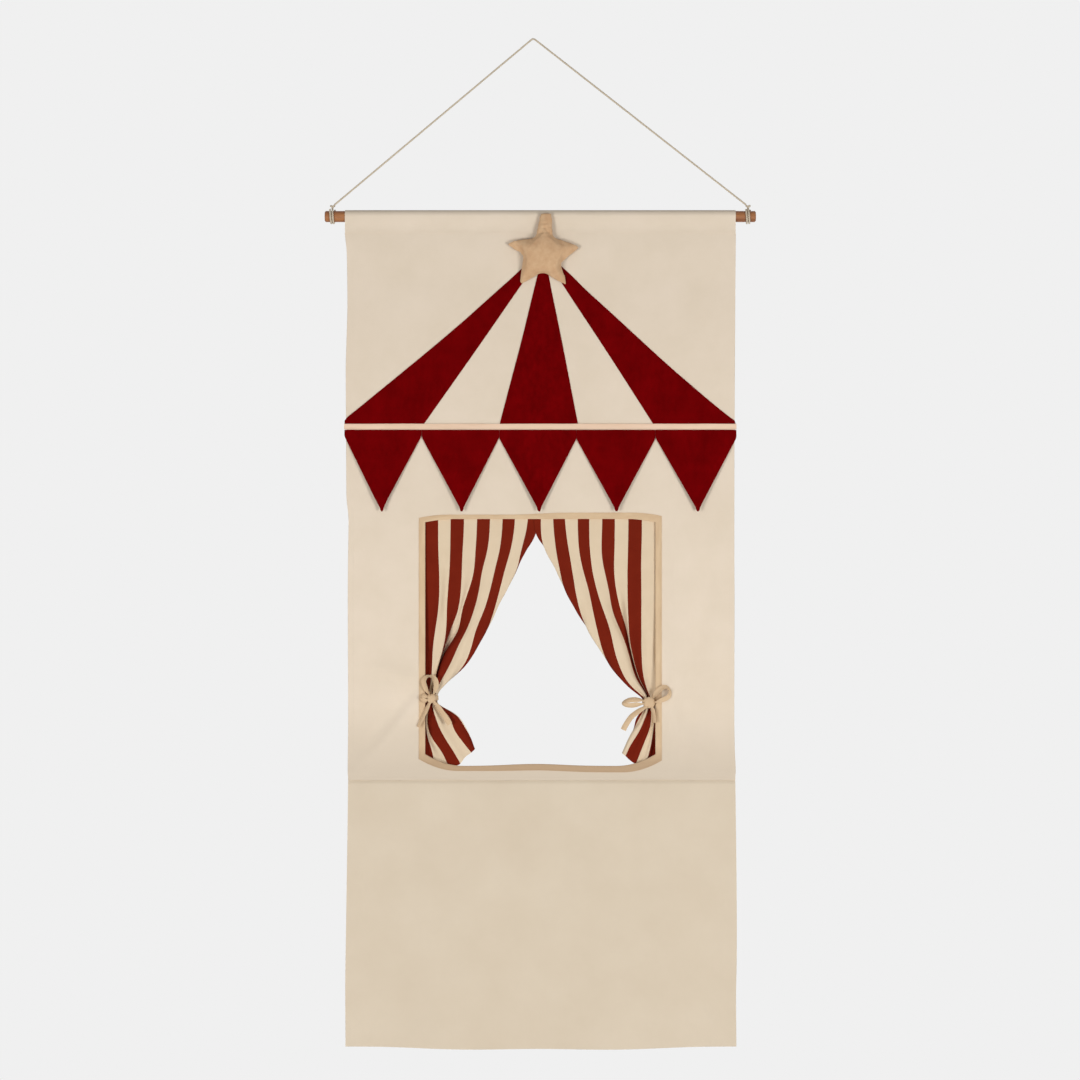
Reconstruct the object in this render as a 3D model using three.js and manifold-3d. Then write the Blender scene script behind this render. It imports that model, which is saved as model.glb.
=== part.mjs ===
// A hanging cloth puppet theatre for a doorway or a hook. A wooden rod in the top pocket of a
// canvas panel hangs from a cord. The panel has a circus roof of velvet, five velvet pennants,
// a stuffed star, and a bound window with two curtains that are tied back with bows.
// Millimetres, +X to the viewer's right, the front faces -Y, +Z up.
// The origin is the hook's top, where the cord rests on it.

import * as THREE from "three";
import { mergeVertices } from "three/addons/utils/BufferGeometryUtils.js";
import Module from "manifold-3d";

const wasm = await Module();
wasm.setup();

// The gap left round curved, cut and turned pieces
const clearance = 0.3;
const curveSteps = 6;

// Rod and cord
const rodDiameter = 22;
const rodLength = 850;
const rodChamfer = 2;
const rodSides = 32;
const rodDrop = 350;
const hookOffset = 14;
const cordDiameter = 4;
const cordSteps = 80;
const cordSides = 8;
const windingTurns = 2;
const windingGap = 0.7;
const windingInset = 15;
const windingTail = 6.6;
const windingStart = THREE.MathUtils.degToRad(52);
const stepsPerLoop = 24;
const windingSides = 6;
const gapSamplesPerStep = 4;
const knotWidth = 11;
const knotHeight = 8.4;
const knotSides = 14;
const knotRings = 10;

// The cord's route from knot to knot over the hook, chosen by hand
const cordRoute = [
  [-392, 0, -326.8],
  [-330, 0, -274.9],
  [-262, 0, -217.9],
  [-194, 0, -160.9],
  [-126, 0, -103.9],
  [-66, 0, -53.6],
  [-30, 0, -23.4],
  [-12.5, 0, -8.7],
  [-6.4, 0, -3.6],
  [-3, 0, -0.8],
  [0, 0, 0.4],
  [3.2, 0, -0.9],
  [7, 0, -3.6],
  [14, 0, -9],
  [34, 0, -24.7],
  [72, 0, -54.4],
  [136, 0, -104.5],
  [208, 0, -160.9],
  [280, 0, -217.3],
  [352, 0, -273.7],
  [420, 0, -326.9],
];

// Canvas panel
const canvas = 1.2;
const panelWidth = 770;
const panelHeight = 1650;
const waistWidth = 758;
const hemWidth = 774;
const pocketDepth = 45;
const pocketArcSteps = 18;
const sideHem = 12;
const sideHemThickness = 1.8;
const waistDrop = 1125;
const waistLap = 12;
const bottomHem = 22;
const hemSag = 6;
const foldDepth = 8;
const foldCount = 2.5;
const foldGrowthPower = 2;
const columnsPerFold = 10;
const lowerRowShares = [0, 0.15, 0.35, 0.55, 0.75, 0.9];

// Roof, ribbon and pennants
const wedgeVelvet = 1.5;
const roofDrop = 422;
const ribbonHeight = 11;
const ribbon = 1;
const roofWidth = 774;
const roofSwoop = 9;
const roofStop = 28;
const wedgeAimShares = { left: [0.173, 0.307], middle: [-0.027, 0.107], right: [-0.173, 0.213] };
const pennantCount = 5;
const pennantVelvet = 2.2;
const pennantDrop = 161;
const pennantSide = 23;
const pennantGap = 1.2;
const pennantTip = 3;

// Stuffed star
const starRadius = 75;
const starNotchShare = 0.5;
const starTopReach = 78;
const starTopWidth = 19;
const starTipWidth = 7;
const starCorner = 5;
const starDrop = 88;
const starOffset = 5;
const starFrontCrown = 19;
const starBackCrown = 3.5;
const starEdge = 1.2;
const starSewnShare = 0.32;
const starRestShare = 0.55;
const starArms = 5;
const starRingShares = [0.3, 0.55, 0.75, 0.9, 0.98];
const starOutlinePoints = 90;

// Window
const openingWidth = 454;
const openingHeight = 480;
const openingDrop = 613;
const headRise = 10;
const sillSag = 20;
const shoulderRun = 78;
const shoulderSteps = 4;
const bindingWidth = 12.5;
const bindingCloth = 1;

// Curtains
const curtainCloth = 0.6;
const curtainWidth = 225;
const curtainHeading = 15;
const curtainMeeting = 3;
const curtainTuck = 1;
const pleatCount = 5;
const pleatSteps = 8;
const bundleWidth = 22;
const tieZone = 12;
const outerSweepPower = 4;
const topRowShares = [0.08, 0.25, 0.45, 0.65, 0.83, 0.94];
const flareRowShares = [0.18, 0.45, 0.75, 1];
const flareHemShares = [0.93, 0.99, 1, 0.99, 0.98, 0.97];

// Ties and bows: places are shares of the bow's reach, sideways then up, from the knot. The first
// place, and a loop's last one, only give the direction in which the tape leaves the knot.
const tapeWidth = 9;
const tape = 1;
const bowReach = 50;
const bowTilt = THREE.MathUtils.degToRad(20);
const bowKnotWidth = 13;
const bowKnotHeight = 11;
const bowKnotDepth = 9;
const bandCornerSteps = 3;
const tailSpacing = 1.2;
const strapSteps = 18;
const strapRootShare = 0.45;
const strapRootRun = 9;
const strapRootGap = 0.5;

const sides = [
  {
    name: "left",
    sign: -1,
    tieDrop: 350,
    sweepPower: 1.2,
    flareWidth: 95,
    flarePower: 0.8,
    flareDrop: 130,
    loops: {
      upper: [[-0.06, 0.13], [-0.2, 0.34], [-0.3, 0.66], [-0.16, 0.86],
        [0.08, 0.82], [0.18, 0.58], [0.12, 0.3], [0.06, 0.13]],
      outer: [[-0.14, 0.07], [-0.3, 0.1], [-0.44, 0.02], [-0.3, -0.09], [-0.14, -0.07]],
    },
    tails: {
      inner: [[0.09, -0.15], [0.25, -0.33], [0.46, -0.62], [0.72, -1.02]],
      outer: [[-0.07, -0.16], [-0.2, -0.42], [-0.36, -0.76], [-0.54, -1.12]],
    },
  },
  {
    name: "right",
    sign: 1,
    tieDrop: 358,
    sweepPower: 1.75,
    flareWidth: 68,
    flarePower: 1,
    flareDrop: 122,
    loops: {
      inner: [[-0.15, 0.07], [-0.4, 0.17], [-0.76, 0.19], [-1.03, 0.02],
        [-0.96, -0.16], [-0.7, -0.2], [-0.4, -0.13], [-0.15, -0.06]],
      outer: [[0.13, 0.1], [0.26, 0.34], [0.5, 0.6], [0.72, 0.66],
        [0.86, 0.52], [0.76, 0.26], [0.5, 0.08], [0.16, -0.03]],
    },
    tails: {
      inner: [[-0.09, -0.16], [-0.36, -0.3], [-0.7, -0.56], [-0.92, -0.88], [-1.02, -1.08]],
      outer: [[0.07, -0.16], [0.11, -0.42], [0.14, -0.92]],
    },
  },
];

// Sizes worked out from the ones above
const rodRadius = rodDiameter / 2;
const cordRadius = cordDiameter / 2;
const panelTop = -rodDrop + rodRadius + clearance + canvas;
const front = -canvas / 2;
const back = canvas / 2;
const bindingBack = back + bindingCloth;
const wedgeFront = front - wedgeVelvet;
const ribbonFront = wedgeFront - ribbon;

const finish = (color, roughness) => new THREE.MeshStandardMaterial({ color, roughness, metalness: 0 });
const canvasCloth = finish("#e3d6c0", 0.95);
const lowerCloth = finish("#d8c8ae", 0.95);
const velvetCloth = finish("#7c0a10", 0.85);
const bindingTape = finish("#dcc09a", 0.9);
const ribbonTape = finish("#ead7b8", 0.9);
const stripedCloth = finish("#9a4636", 0.9);
const starCloth = finish("#d9b98c", 0.9);
const cottonCord = finish("#c9c2b2", 0.95);
const wood = finish("#a9713f", 0.55);

const theatre = new THREE.Group();
const panel = new THREE.Group();
panel.position.set(hookOffset, 0, panelTop);
theatre.add(panel);

function add(parent, name, geometry, material) {
  const mesh = new THREE.Mesh(geometry, material);
  mesh.name = name;
  parent.add(mesh);
  return mesh;
}

function extruded(shape, depth, curveSegments) {
  return new THREE.ExtrudeGeometry(shape, { depth, bevelEnabled: false, curveSegments });
}

// Turns a flat outline drawn in X and Z into a plate whose back face lies at yBack
function plate(shape, yBack, thickness) {
  const turn = new THREE.Matrix4().makeBasis(
    new THREE.Vector3(1, 0, 0),
    new THREE.Vector3(0, 0, 1),
    new THREE.Vector3(0, -1, 0),
  );
  return extruded(shape, thickness, curveSteps).applyMatrix4(turn).translate(0, yBack, 0);
}

// Runs a section drawn in Y and Z along X, centred on x = 0
function barAlongX(shape, length) {
  const turn = new THREE.Matrix4().makeBasis(
    new THREE.Vector3(0, 1, 0),
    new THREE.Vector3(0, 0, 1),
    new THREE.Vector3(1, 0, 0),
  );
  return extruded(shape, length, curveSteps).applyMatrix4(turn).translate(-length / 2, 0, 0);
}

function solidOf(geometry) {
  const bare = geometry.clone();
  bare.deleteAttribute("normal");
  bare.deleteAttribute("uv");
  const merged = mergeVertices(bare);
  return new wasm.Manifold(
    new wasm.Mesh({
      numProp: 3,
      vertProperties: merged.attributes.position.array,
      triVerts: new Uint32Array(merged.index.array),
    }),
  );
}

function geometryOf(solid) {
  const mesh = solid.getMesh();
  const geometry = new THREE.BufferGeometry();
  geometry.setAttribute("position", new THREE.BufferAttribute(mesh.vertProperties, 3));
  geometry.setIndex(new THREE.BufferAttribute(mesh.triVerts, 1));
  return geometry;
}

// Joins solids that share material into one
function joined(...geometries) {
  return geometryOf(geometries.map(solidOf).reduce((whole, piece) => whole.add(piece)));
}

// Closes a front grid and a back grid of points into one thin solid. Seen from outside the front
// face, rows run downwards and columns run to the right. Both faces split their quads along the
// same diagonal, so that twisted quads keep the cloth's thickness.
function clothSolid(frontGrid, backGrid) {
  const rows = frontGrid.length;
  const columns = frontGrid[0].length;
  const points = [...frontGrid.flat(), ...backGrid.flat()];
  const backStart = rows * columns;
  const at = (row, column) => row * columns + column;
  const index = [];
  const quad = (a, b, c, d) => index.push(a, b, c, a, c, d);
  for (let row = 0; row < rows - 1; row += 1) {
    for (let column = 0; column < columns - 1; column += 1) {
      const corners = [at(row, column), at(row + 1, column), at(row + 1, column + 1), at(row, column + 1)];
      const [a, b, c, d] = corners.map((corner) => corner + backStart);
      quad(...corners);
      quad(c, b, a, d);
    }
  }
  const rim = [];
  for (let row = 0; row < rows - 1; row += 1) rim.push(at(row, 0));
  for (let column = 0; column < columns - 1; column += 1) rim.push(at(rows - 1, column));
  for (let row = rows - 1; row > 0; row -= 1) rim.push(at(row, columns - 1));
  for (let column = columns - 1; column > 0; column -= 1) rim.push(at(0, column));
  rim.forEach((here, place) => {
    const next = rim[(place + 1) % rim.length];
    quad(next, here, here + backStart, next + backStart);
  });
  const geometry = new THREE.BufferGeometry().setFromPoints(points);
  geometry.setIndex(index);
  return geometry;
}

// Lofts rings of points into one solid, with each end filled by the triangles of the flat profile
function loft(rings, profile) {
  const size = profile.length;
  const index = [];
  for (let ring = 0; ring < rings.length - 1; ring += 1) {
    for (let corner = 0; corner < size; corner += 1) {
      const a = ring * size + corner;
      const b = ring * size + ((corner + 1) % size);
      index.push(a, b, b + size, a, b + size, a + size);
    }
  }
  const lastRing = (rings.length - 1) * size;
  const clockwise = THREE.ShapeUtils.isClockWise(profile);
  for (const triangle of THREE.ShapeUtils.triangulateShape(profile, [])) {
    const [a, b, c] = clockwise ? triangle.reverse() : triangle;
    index.push(c, b, a);
    index.push(a + lastRing, b + lastRing, c + lastRing);
  }
  const geometry = new THREE.BufferGeometry().setFromPoints(rings.flat());
  geometry.setIndex(index);
  return geometry;
}

function circleShape(radius, sidesCount) {
  const points = Array.from({ length: sidesCount }, (_, corner) => {
    const angle = (2 * Math.PI * corner) / sidesCount;
    return new THREE.Vector2(radius * Math.cos(angle), radius * Math.sin(angle));
  });
  return new THREE.Shape(points);
}

// An outline with its corners rounded off
function roundedShape(points, radius) {
  const shape = new THREE.Shape();
  points.forEach((corner, place) => {
    const before = points[(place + points.length - 1) % points.length];
    const after = points[(place + 1) % points.length];
    const reach = Math.min(radius, corner.distanceTo(before) / 2, corner.distanceTo(after) / 2);
    const start = corner.clone().add(before.clone().sub(corner).setLength(reach));
    const end = corner.clone().add(after.clone().sub(corner).setLength(reach));
    if (place === 0) shape.moveTo(start.x, start.y);
    else shape.lineTo(start.x, start.y);
    shape.quadraticCurveTo(corner.x, corner.y, end.x, end.y);
  });
  return shape;
}

// The dowel, with chamfered ends
function buildRod() {
  const half = rodLength / 2;
  const profile = [
    [0, -half],
    [rodRadius - rodChamfer, -half],
    [rodRadius, -half + rodChamfer],
    [rodRadius, half - rodChamfer],
    [rodRadius - rodChamfer, half],
    [0, half],
  ].map(([radius, along]) => new THREE.Vector2(radius, along));
  const rod = add(theatre, "wooden_rod", new THREE.LatheGeometry(profile, rodSides), wood);
  rod.rotation.z = -Math.PI / 2;
  rod.position.set(hookOffset, 0, -rodDrop);
}

// Two turns of cord round the rod, whose ends run straight up to the knot
class WindingCurve extends THREE.Curve {
  constructor(radius, pitch) {
    super();
    this.radius = radius;
    this.pitch = pitch;
    this.sweep = 2 * Math.PI * windingTurns - 2 * windingStart;
    this.loopLength = Math.hypot(radius * this.sweep, (pitch * this.sweep) / (2 * Math.PI));
    this.total = this.loopLength + 2 * windingTail;
  }

  onHelix(along) {
    const angle = windingStart + this.sweep * along;
    const x = this.pitch * (angle / (2 * Math.PI) - windingTurns / 2);
    return new THREE.Vector3(x, -this.radius * Math.sin(angle), this.radius * Math.cos(angle));
  }

  getPoint(share, target = new THREE.Vector3()) {
    const run = share * this.total;
    const onTail = (end, other, distance) =>
      target.copy(end).add(end.clone().sub(other).setLength(distance));
    const step = 1 / stepsPerLoop / windingTurns;
    if (run < windingTail) {
      return onTail(this.onHelix(0), this.onHelix(step), windingTail - run);
    }
    if (run > this.total - windingTail) {
      return onTail(this.onHelix(1), this.onHelix(1 - step), run - (this.total - windingTail));
    }
    return target.copy(this.onHelix((run - windingTail) / this.loopLength));
  }
}

// The least distance between two stretches of a tube that are more than a loop's quarter apart
function leastGapToItself(curve, samples, tubeRadius) {
  const points = curve.getSpacedPoints(samples);
  const apart = Math.round(samples / windingTurns / 4);
  let least = Infinity;
  points.forEach((here, place) => {
    for (let other = place + apart; other < points.length; other += 1) {
      least = Math.min(least, here.distanceTo(points[other]) - 2 * tubeRadius);
    }
  });
  return least;
}

function buildCord() {
  const route = new THREE.CatmullRomCurve3(
    cordRoute.map((point) => new THREE.Vector3(...point)),
    false,
    "centripetal",
  );
  const leg = new THREE.ExtrudeGeometry(circleShape(cordRadius, cordSides), {
    steps: cordSteps,
    extrudePath: route,
    bevelEnabled: false,
  });
  add(theatre, "hanging_cord", leg, cottonCord);

  const loopRadius = rodRadius + clearance + cordRadius;
  const winding = new WindingCurve(loopRadius, cordDiameter + windingGap);
  const coil = new THREE.ExtrudeGeometry(circleShape(cordRadius, windingSides), {
    steps: Math.round((stepsPerLoop * windingTurns * winding.total) / winding.loopLength),
    extrudePath: winding,
    bevelEnabled: false,
  });
  const gap = leastGapToItself(winding, stepsPerLoop * windingTurns * gapSamplesPerStep, cordRadius);
  console.log("least gap of a cord winding to itself", gap.toFixed(2), "mm");
  const knotCentre = loopRadius + cordRadius + clearance + knotHeight / 2;
  const knot = new THREE.SphereGeometry(1, knotSides, knotRings);
  knot.scale(knotWidth / 2, knotHeight / 2, knotHeight / 2);
  for (const { name, sign } of sides) {
    const x = hookOffset + sign * (rodLength / 2 - windingInset);
    add(theatre, "cord_winding_" + name, coil.clone(), cottonCord).position.set(x, 0, -rodDrop);
    add(theatre, "cord_knot_" + name, knot.clone(), cottonCord).position.set(x, 0, -rodDrop + knotCentre);
  }
}

// The canvas folded over the rod and stitched to itself under it
function buildPocket() {
  const inner = rodRadius + clearance;
  const outer = inner + canvas;
  const axisHeight = -outer;
  const stitch = -pocketDepth;
  const reach = axisHeight - stitch;
  const outline = (radius, halfFoot, foot) => {
    const drop = axisHeight - foot;
    const slope = Math.atan2(halfFoot, drop);
    const lean = Math.acos(radius / Math.hypot(drop, halfFoot)) - slope;
    const touch = -Math.PI / 2 + lean;
    const points = [];
    for (let step = 0; step <= pocketArcSteps; step += 1) {
      const angle = touch + ((Math.PI * 2 - 2 * lean) * step) / pocketArcSteps;
      points.push(new THREE.Vector2(radius * Math.cos(angle), axisHeight + radius * Math.sin(angle)));
    }
    points.push(new THREE.Vector2(-halfFoot, foot));
    if (halfFoot > 0) points.push(new THREE.Vector2(halfFoot, foot));
    return points;
  };
  const shape = new THREE.Shape(outline(outer, canvas, stitch));
  const bite = (reach * canvas) / outer;
  shape.holes.push(new THREE.Path(outline(inner, 0, stitch + bite).reverse()));
  add(panel, "rod_pocket", barAlongX(shape, panelWidth), canvasCloth);
}

// One edge of the window, as points in X and Z, moved outwards by offset
function windowEdge(side, offset) {
  const half = openingWidth / 2 + offset;
  const head = -openingDrop + offset;
  const sill = -openingDrop - openingHeight - offset;
  const flat = half - shoulderRun;
  if (side === "left" || side === "right") {
    const x = side === "left" ? -half : half;
    const ends = [new THREE.Vector2(x, sill + sillSag), new THREE.Vector2(x, head - headRise)];
    return side === "left" ? ends : ends.reverse();
  }
  const level = side === "top" ? head : sill;
  const corner = side === "top" ? head - headRise : sill + sillSag;
  const shoulder = new THREE.QuadraticBezierCurve(
    new THREE.Vector2(-half, corner),
    new THREE.Vector2(-(half + flat) / 2, level),
    new THREE.Vector2(-flat, level),
  ).getPoints(shoulderSteps);
  const mirrored = shoulder.map((point) => new THREE.Vector2(-point.x, point.y)).reverse();
  const across = [...shoulder, ...mirrored];
  return side === "top" ? across : across.reverse();
}

const windowSides = ["left", "top", "right", "bottom"];
const windowOutline = (offset) => windowSides.flatMap((side) => windowEdge(side, offset).slice(0, -1));

// The front sheet with its window and the hems turned back along both sides
function buildUpperPanel() {
  const top = -pocketDepth;
  const bottom = -waistDrop;
  const sheetOutline = (inset) => [
    new THREE.Vector2(-waistWidth / 2 + inset, bottom),
    new THREE.Vector2(waistWidth / 2 - inset, bottom),
    new THREE.Vector2(panelWidth / 2 - inset, top),
    new THREE.Vector2(-panelWidth / 2 + inset, top),
  ];
  const sheet = new THREE.Shape(sheetOutline(0));
  sheet.holes.push(new THREE.Path(windowOutline(bindingCloth + clearance)));
  const outer = sheetOutline(0);
  const inner = sheetOutline(sideHem);
  const lap = bottom + waistLap + clearance;
  const lapShare = (lap - bottom) / (top - bottom);
  const leftHem = [
    outer[3],
    outer[0].clone().lerp(outer[3], lapShare),
    inner[0].clone().lerp(inner[3], lapShare),
    inner[3],
  ];
  const rightHem = leftHem.map((point) => new THREE.Vector2(-point.x, point.y));
  const sheetSolid = plate(sheet, back, canvas);
  const hems = [leftHem, rightHem]
    .map((points) => plate(new THREE.Shape(points), back + canvas, sideHemThickness));
  add(panel, "upper_panel", joined(sheetSolid, ...hems), canvasCloth);

  const strip = new THREE.Shape([
    new THREE.Vector2(-waistWidth / 2, bottom),
    new THREE.Vector2(waistWidth / 2, bottom),
    new THREE.Vector2(waistWidth / 2, bottom + waistLap),
    new THREE.Vector2(-waistWidth / 2, bottom + waistLap),
  ]);
  add(panel, "waist_seam_strip", plate(strip, back + canvas, canvas), lowerCloth);
}

// The loose lower cloth, in soft folds that deepen towards its double hem
function buildLowerPanel() {
  const top = -waistDrop - canvas / 2 - clearance / 2;
  const middle = back + canvas / 2;
  const columns = Math.round(foldCount * columnsPerFold);
  const hemShare = 1 - bottomHem / (panelHeight - waistDrop);
  const rows = [...lowerRowShares, hemShare, hemShare, 1];
  const point = (share, across, behind) => {
    const halfWidth = THREE.MathUtils.lerp(waistWidth, hemWidth, share) / 2;
    const bottom = -panelHeight - hemSag * Math.sin(Math.PI * across);
    const fold = foldDepth * share ** foldGrowthPower * Math.sin(2 * Math.PI * foldCount * across);
    return new THREE.Vector3(
      THREE.MathUtils.lerp(-halfWidth, halfWidth, across),
      middle + fold + behind,
      THREE.MathUtils.lerp(top, bottom, share),
    );
  };
  const grid = (behind, hemBehind) => rows.map((share, row) => {
    const offset = row > rows.indexOf(hemShare) ? hemBehind : behind;
    return Array.from({ length: columns + 1 }, (_, column) => point(share, column / columns, offset));
  });
  const frontGrid = grid(-canvas / 2, -canvas / 2);
  const backGrid = grid(canvas / 2, canvas / 2 + canvas);
  add(panel, "lower_panel", clothSolid(frontGrid, backGrid), lowerCloth);
}

// Velvet triangles from the ribbon up to the star, the outer ones with a hollow sweep
function buildRoof() {
  const pitch = roofWidth / pennantCount;
  const bottom = -roofDrop - ribbonHeight;
  const centre = new THREE.Vector2(starOffset, -starDrop);
  const wedges = { left: 0, middle: 2, right: 4 };
  const stopped = (from, aim) => {
    const direction = aim.clone().sub(from).normalize();
    const toCentre = centre.clone().sub(from);
    const along = toCentre.dot(direction);
    const aside = toCentre.cross(direction);
    return from.clone().addScaledVector(direction, along - Math.sqrt(roofStop ** 2 - aside ** 2));
  };
  for (const [name, place] of Object.entries(wedges)) {
    const aim = centre.clone().add(new THREE.Vector2(...wedgeAimShares[name]).multiplyScalar(starRadius));
    const corners = [place, place + 1]
      .map((edge) => new THREE.Vector2(-roofWidth / 2 + edge * pitch, bottom));
    const tops = corners.map((corner) => stopped(corner, aim));
    const swoops = [name === "left" ? roofSwoop : 0, name === "right" ? roofSwoop : 0];
    const shape = new THREE.Shape();
    shape.moveTo(corners[0].x, corners[0].y);
    shape.lineTo(corners[1].x, corners[1].y);
    const hollow = (edge) => corners[edge].clone().add(tops[edge]).divideScalar(2)
      .add(new THREE.Vector2(0, -2 * swoops[edge]));
    shape.quadraticCurveTo(hollow(1).x, hollow(1).y, tops[1].x, tops[1].y);
    shape.lineTo(tops[0].x, tops[0].y);
    shape.quadraticCurveTo(hollow(0).x, hollow(0).y, corners[0].x, corners[0].y);
    add(panel, "roof_wedge_" + name, plate(shape, front, wedgeVelvet), velvetCloth);
  }
  const band = new THREE.Shape([
    new THREE.Vector2(-roofWidth / 2, bottom),
    new THREE.Vector2(roofWidth / 2, bottom),
    new THREE.Vector2(roofWidth / 2, -roofDrop),
    new THREE.Vector2(-roofWidth / 2, -roofDrop),
  ]);
  add(panel, "roof_ribbon", plate(band, wedgeFront, ribbon), ribbonTape);
}

// Each pennant hangs by its top edge, just under the ribbon
function buildPennants() {
  const pitch = roofWidth / pennantCount;
  const half = (pitch - pennantGap) / 2;
  const shape = roundedShape(
    [
      new THREE.Vector2(-half, -2 * clearance),
      new THREE.Vector2(-half, -pennantSide),
      new THREE.Vector2(0, -pennantDrop),
      new THREE.Vector2(half, -pennantSide),
      new THREE.Vector2(half, -2 * clearance),
    ],
    pennantTip,
  );
  const pennantBack = ribbonFront + pennantVelvet;
  for (let place = 0; place < pennantCount; place += 1) {
    const cut = plate(shape, pennantBack, pennantVelvet);
    const pennant = add(panel, "pennant_" + (place + 1), cut, velvetCloth);
    pennant.position.set(-roofWidth / 2 + pitch * (place + 0.5), 0, -roofDrop - ribbonHeight);
  }
}

// A puffed five-pointed cushion whose upper arm is sewn to the rod pocket and whose lower arms
// rest on the roof
function buildStar() {
  const corners = [];
  for (let arm = 0; arm < starArms; arm += 1) {
    const angle = Math.PI / 2 + (2 * Math.PI * arm) / starArms;
    const along = new THREE.Vector2(Math.cos(angle), Math.sin(angle));
    const across = new THREE.Vector2(along.y, -along.x);
    const reach = arm === 0 ? starTopReach : starRadius;
    const width = arm === 0 ? starTopWidth : starTipWidth;
    corners.push(along.clone().multiplyScalar(reach).addScaledVector(across, width / 2));
    corners.push(along.clone().multiplyScalar(reach).addScaledVector(across, -width / 2));
    const notch = angle + Math.PI / starArms;
    const notchReach = starRadius * starNotchShare;
    corners.push(new THREE.Vector2(notchReach * Math.cos(notch), notchReach * Math.sin(notch)));
  }
  const edge = roundedShape(corners, starCorner).closePath();
  const outline = edge.getSpacedPoints(starOutlinePoints).slice(0, -1);
  const count = outline.length;
  const points = [];
  const index = [];
  const crown = (share, height, side) => side * (starEdge / 2 + height * Math.sqrt(1 - share ** 2));
  const layers = [
    { side: 1, height: starFrontCrown },
    { side: -1, height: starBackCrown },
  ];
  const starts = layers.map(({ side, height }) => {
    const start = points.length;
    points.push(new THREE.Vector3(0, 0, crown(0, height, side)));
    for (const share of [...starRingShares, 1]) {
      for (const place of outline) {
        points.push(new THREE.Vector3(place.x * share, place.y * share, crown(share, height, side)));
      }
    }
    for (let place = 0; place < count; place += 1) {
      const next = (place + 1) % count;
      const fan = [start, start + 1 + place, start + 1 + next];
      index.push(...(side > 0 ? fan : fan.reverse()));
      for (let ring = 0; ring < starRingShares.length; ring += 1) {
        const a = start + 1 + ring * count + place;
        const b = start + 1 + ring * count + next;
        const strip = [a, a + count, b + count, a, b + count, b];
        index.push(...(side > 0 ? strip : strip.reverse()));
      }
    }
    return start + 1 + starRingShares.length * count;
  });
  for (let place = 0; place < count; place += 1) {
    const next = (place + 1) % count;
    const [frontRim, backRim] = starts;
    index.push(frontRim + place, backRim + place, backRim + next);
    index.push(frontRim + place, backRim + next, frontRim + next);
  }
  const geometry = new THREE.BufferGeometry().setFromPoints(points);
  geometry.setIndex(index);
  const pocketFront = -(rodRadius + clearance + canvas);
  const topSeat = pocketFront - clearance - starEdge / 2 - starBackCrown * starSewnShare;
  const footSeat = wedgeFront - clearance - starEdge / 2 - starBackCrown * starRestShare;
  const footReach = starRadius * Math.cos(Math.PI / starArms);
  const lean = Math.asin((footSeat - topSeat) / (starTopReach + footReach));
  const star = add(panel, "star_cushion", geometry, starCloth);
  star.position.set(starOffset, footSeat - footReach * Math.sin(lean), -starDrop);
  star.rotation.x = Math.PI / 2 + lean;
}

// Bias tape folded over the window's raw edge, mitred at the corners
function buildBinding() {
  const outerFront = front - bindingCloth;
  const profile = [
    [0, bindingBack],
    [bindingWidth, bindingBack],
    [bindingWidth, back],
    [bindingCloth, back],
    [bindingCloth, front],
    [bindingWidth, front],
    [bindingWidth, outerFront],
    [0, outerFront],
  ].map(([offset, y]) => new THREE.Vector2(offset, y));
  for (const side of windowSides) {
    const edges = profile.map(({ x: offset }) => windowEdge(side, offset));
    const rings = edges[0].map((_, place) =>
      profile.map(({ y }, corner) => new THREE.Vector3(edges[corner][place].x, y, edges[corner][place].y)));
    add(panel, "window_binding_" + side, loft(rings, profile), bindingTape);
  }
}

// How the curtain of one side gathers: its inner and outer edge and its pleats, for each row
function curtainRows(side) {
  const { tieDrop, sweepPower, flareWidth, flarePower, flareDrop } = side;
  const outerTop = openingWidth / 2 + curtainTuck;
  const outerTie = openingWidth / 2 - clearance - tape - clearance;
  const innerTie = outerTie - bundleWidth;
  const zoneTop = tieDrop - tieZone / 2;
  const rows = [{ drop: -curtainHeading, inner: curtainMeeting, outer: outerTop, hang: 0 }];
  rows.push({ drop: headRise + bindingCloth, inner: curtainMeeting, outer: outerTop, hang: 0 });
  for (const share of topRowShares) {
    rows.push({
      drop: zoneTop * share,
      inner: THREE.MathUtils.lerp(curtainMeeting, innerTie, share ** sweepPower),
      outer: THREE.MathUtils.lerp(outerTop, outerTie, share ** outerSweepPower),
      hang: 0,
    });
  }
  rows.push({ drop: zoneTop, inner: innerTie, outer: outerTie, hang: 0 });
  rows.push({ drop: zoneTop + tieZone, inner: innerTie, outer: outerTie, hang: 0 });
  for (const share of flareRowShares) {
    rows.push({
      drop: zoneTop + tieZone,
      inner: THREE.MathUtils.lerp(innerTie, outerTop - flareWidth, share ** flarePower),
      outer: THREE.MathUtils.lerp(outerTie, outerTop, share),
      hang: flareDrop * share,
    });
  }
  return rows.sort((above, below) => above.drop + above.hang - below.drop - below.hang);
}

function pleatDepth(row) {
  const width = row.outer - row.inner;
  return Math.sqrt(Math.max(curtainWidth ** 2 - width ** 2, 0)) / (4 * pleatCount);
}

function hemShare(across) {
  const place = across * (flareHemShares.length - 1);
  const low = Math.min(Math.floor(place), flareHemShares.length - 2);
  return THREE.MathUtils.lerp(flareHemShares[low], flareHemShares[low + 1], place - low);
}

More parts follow.
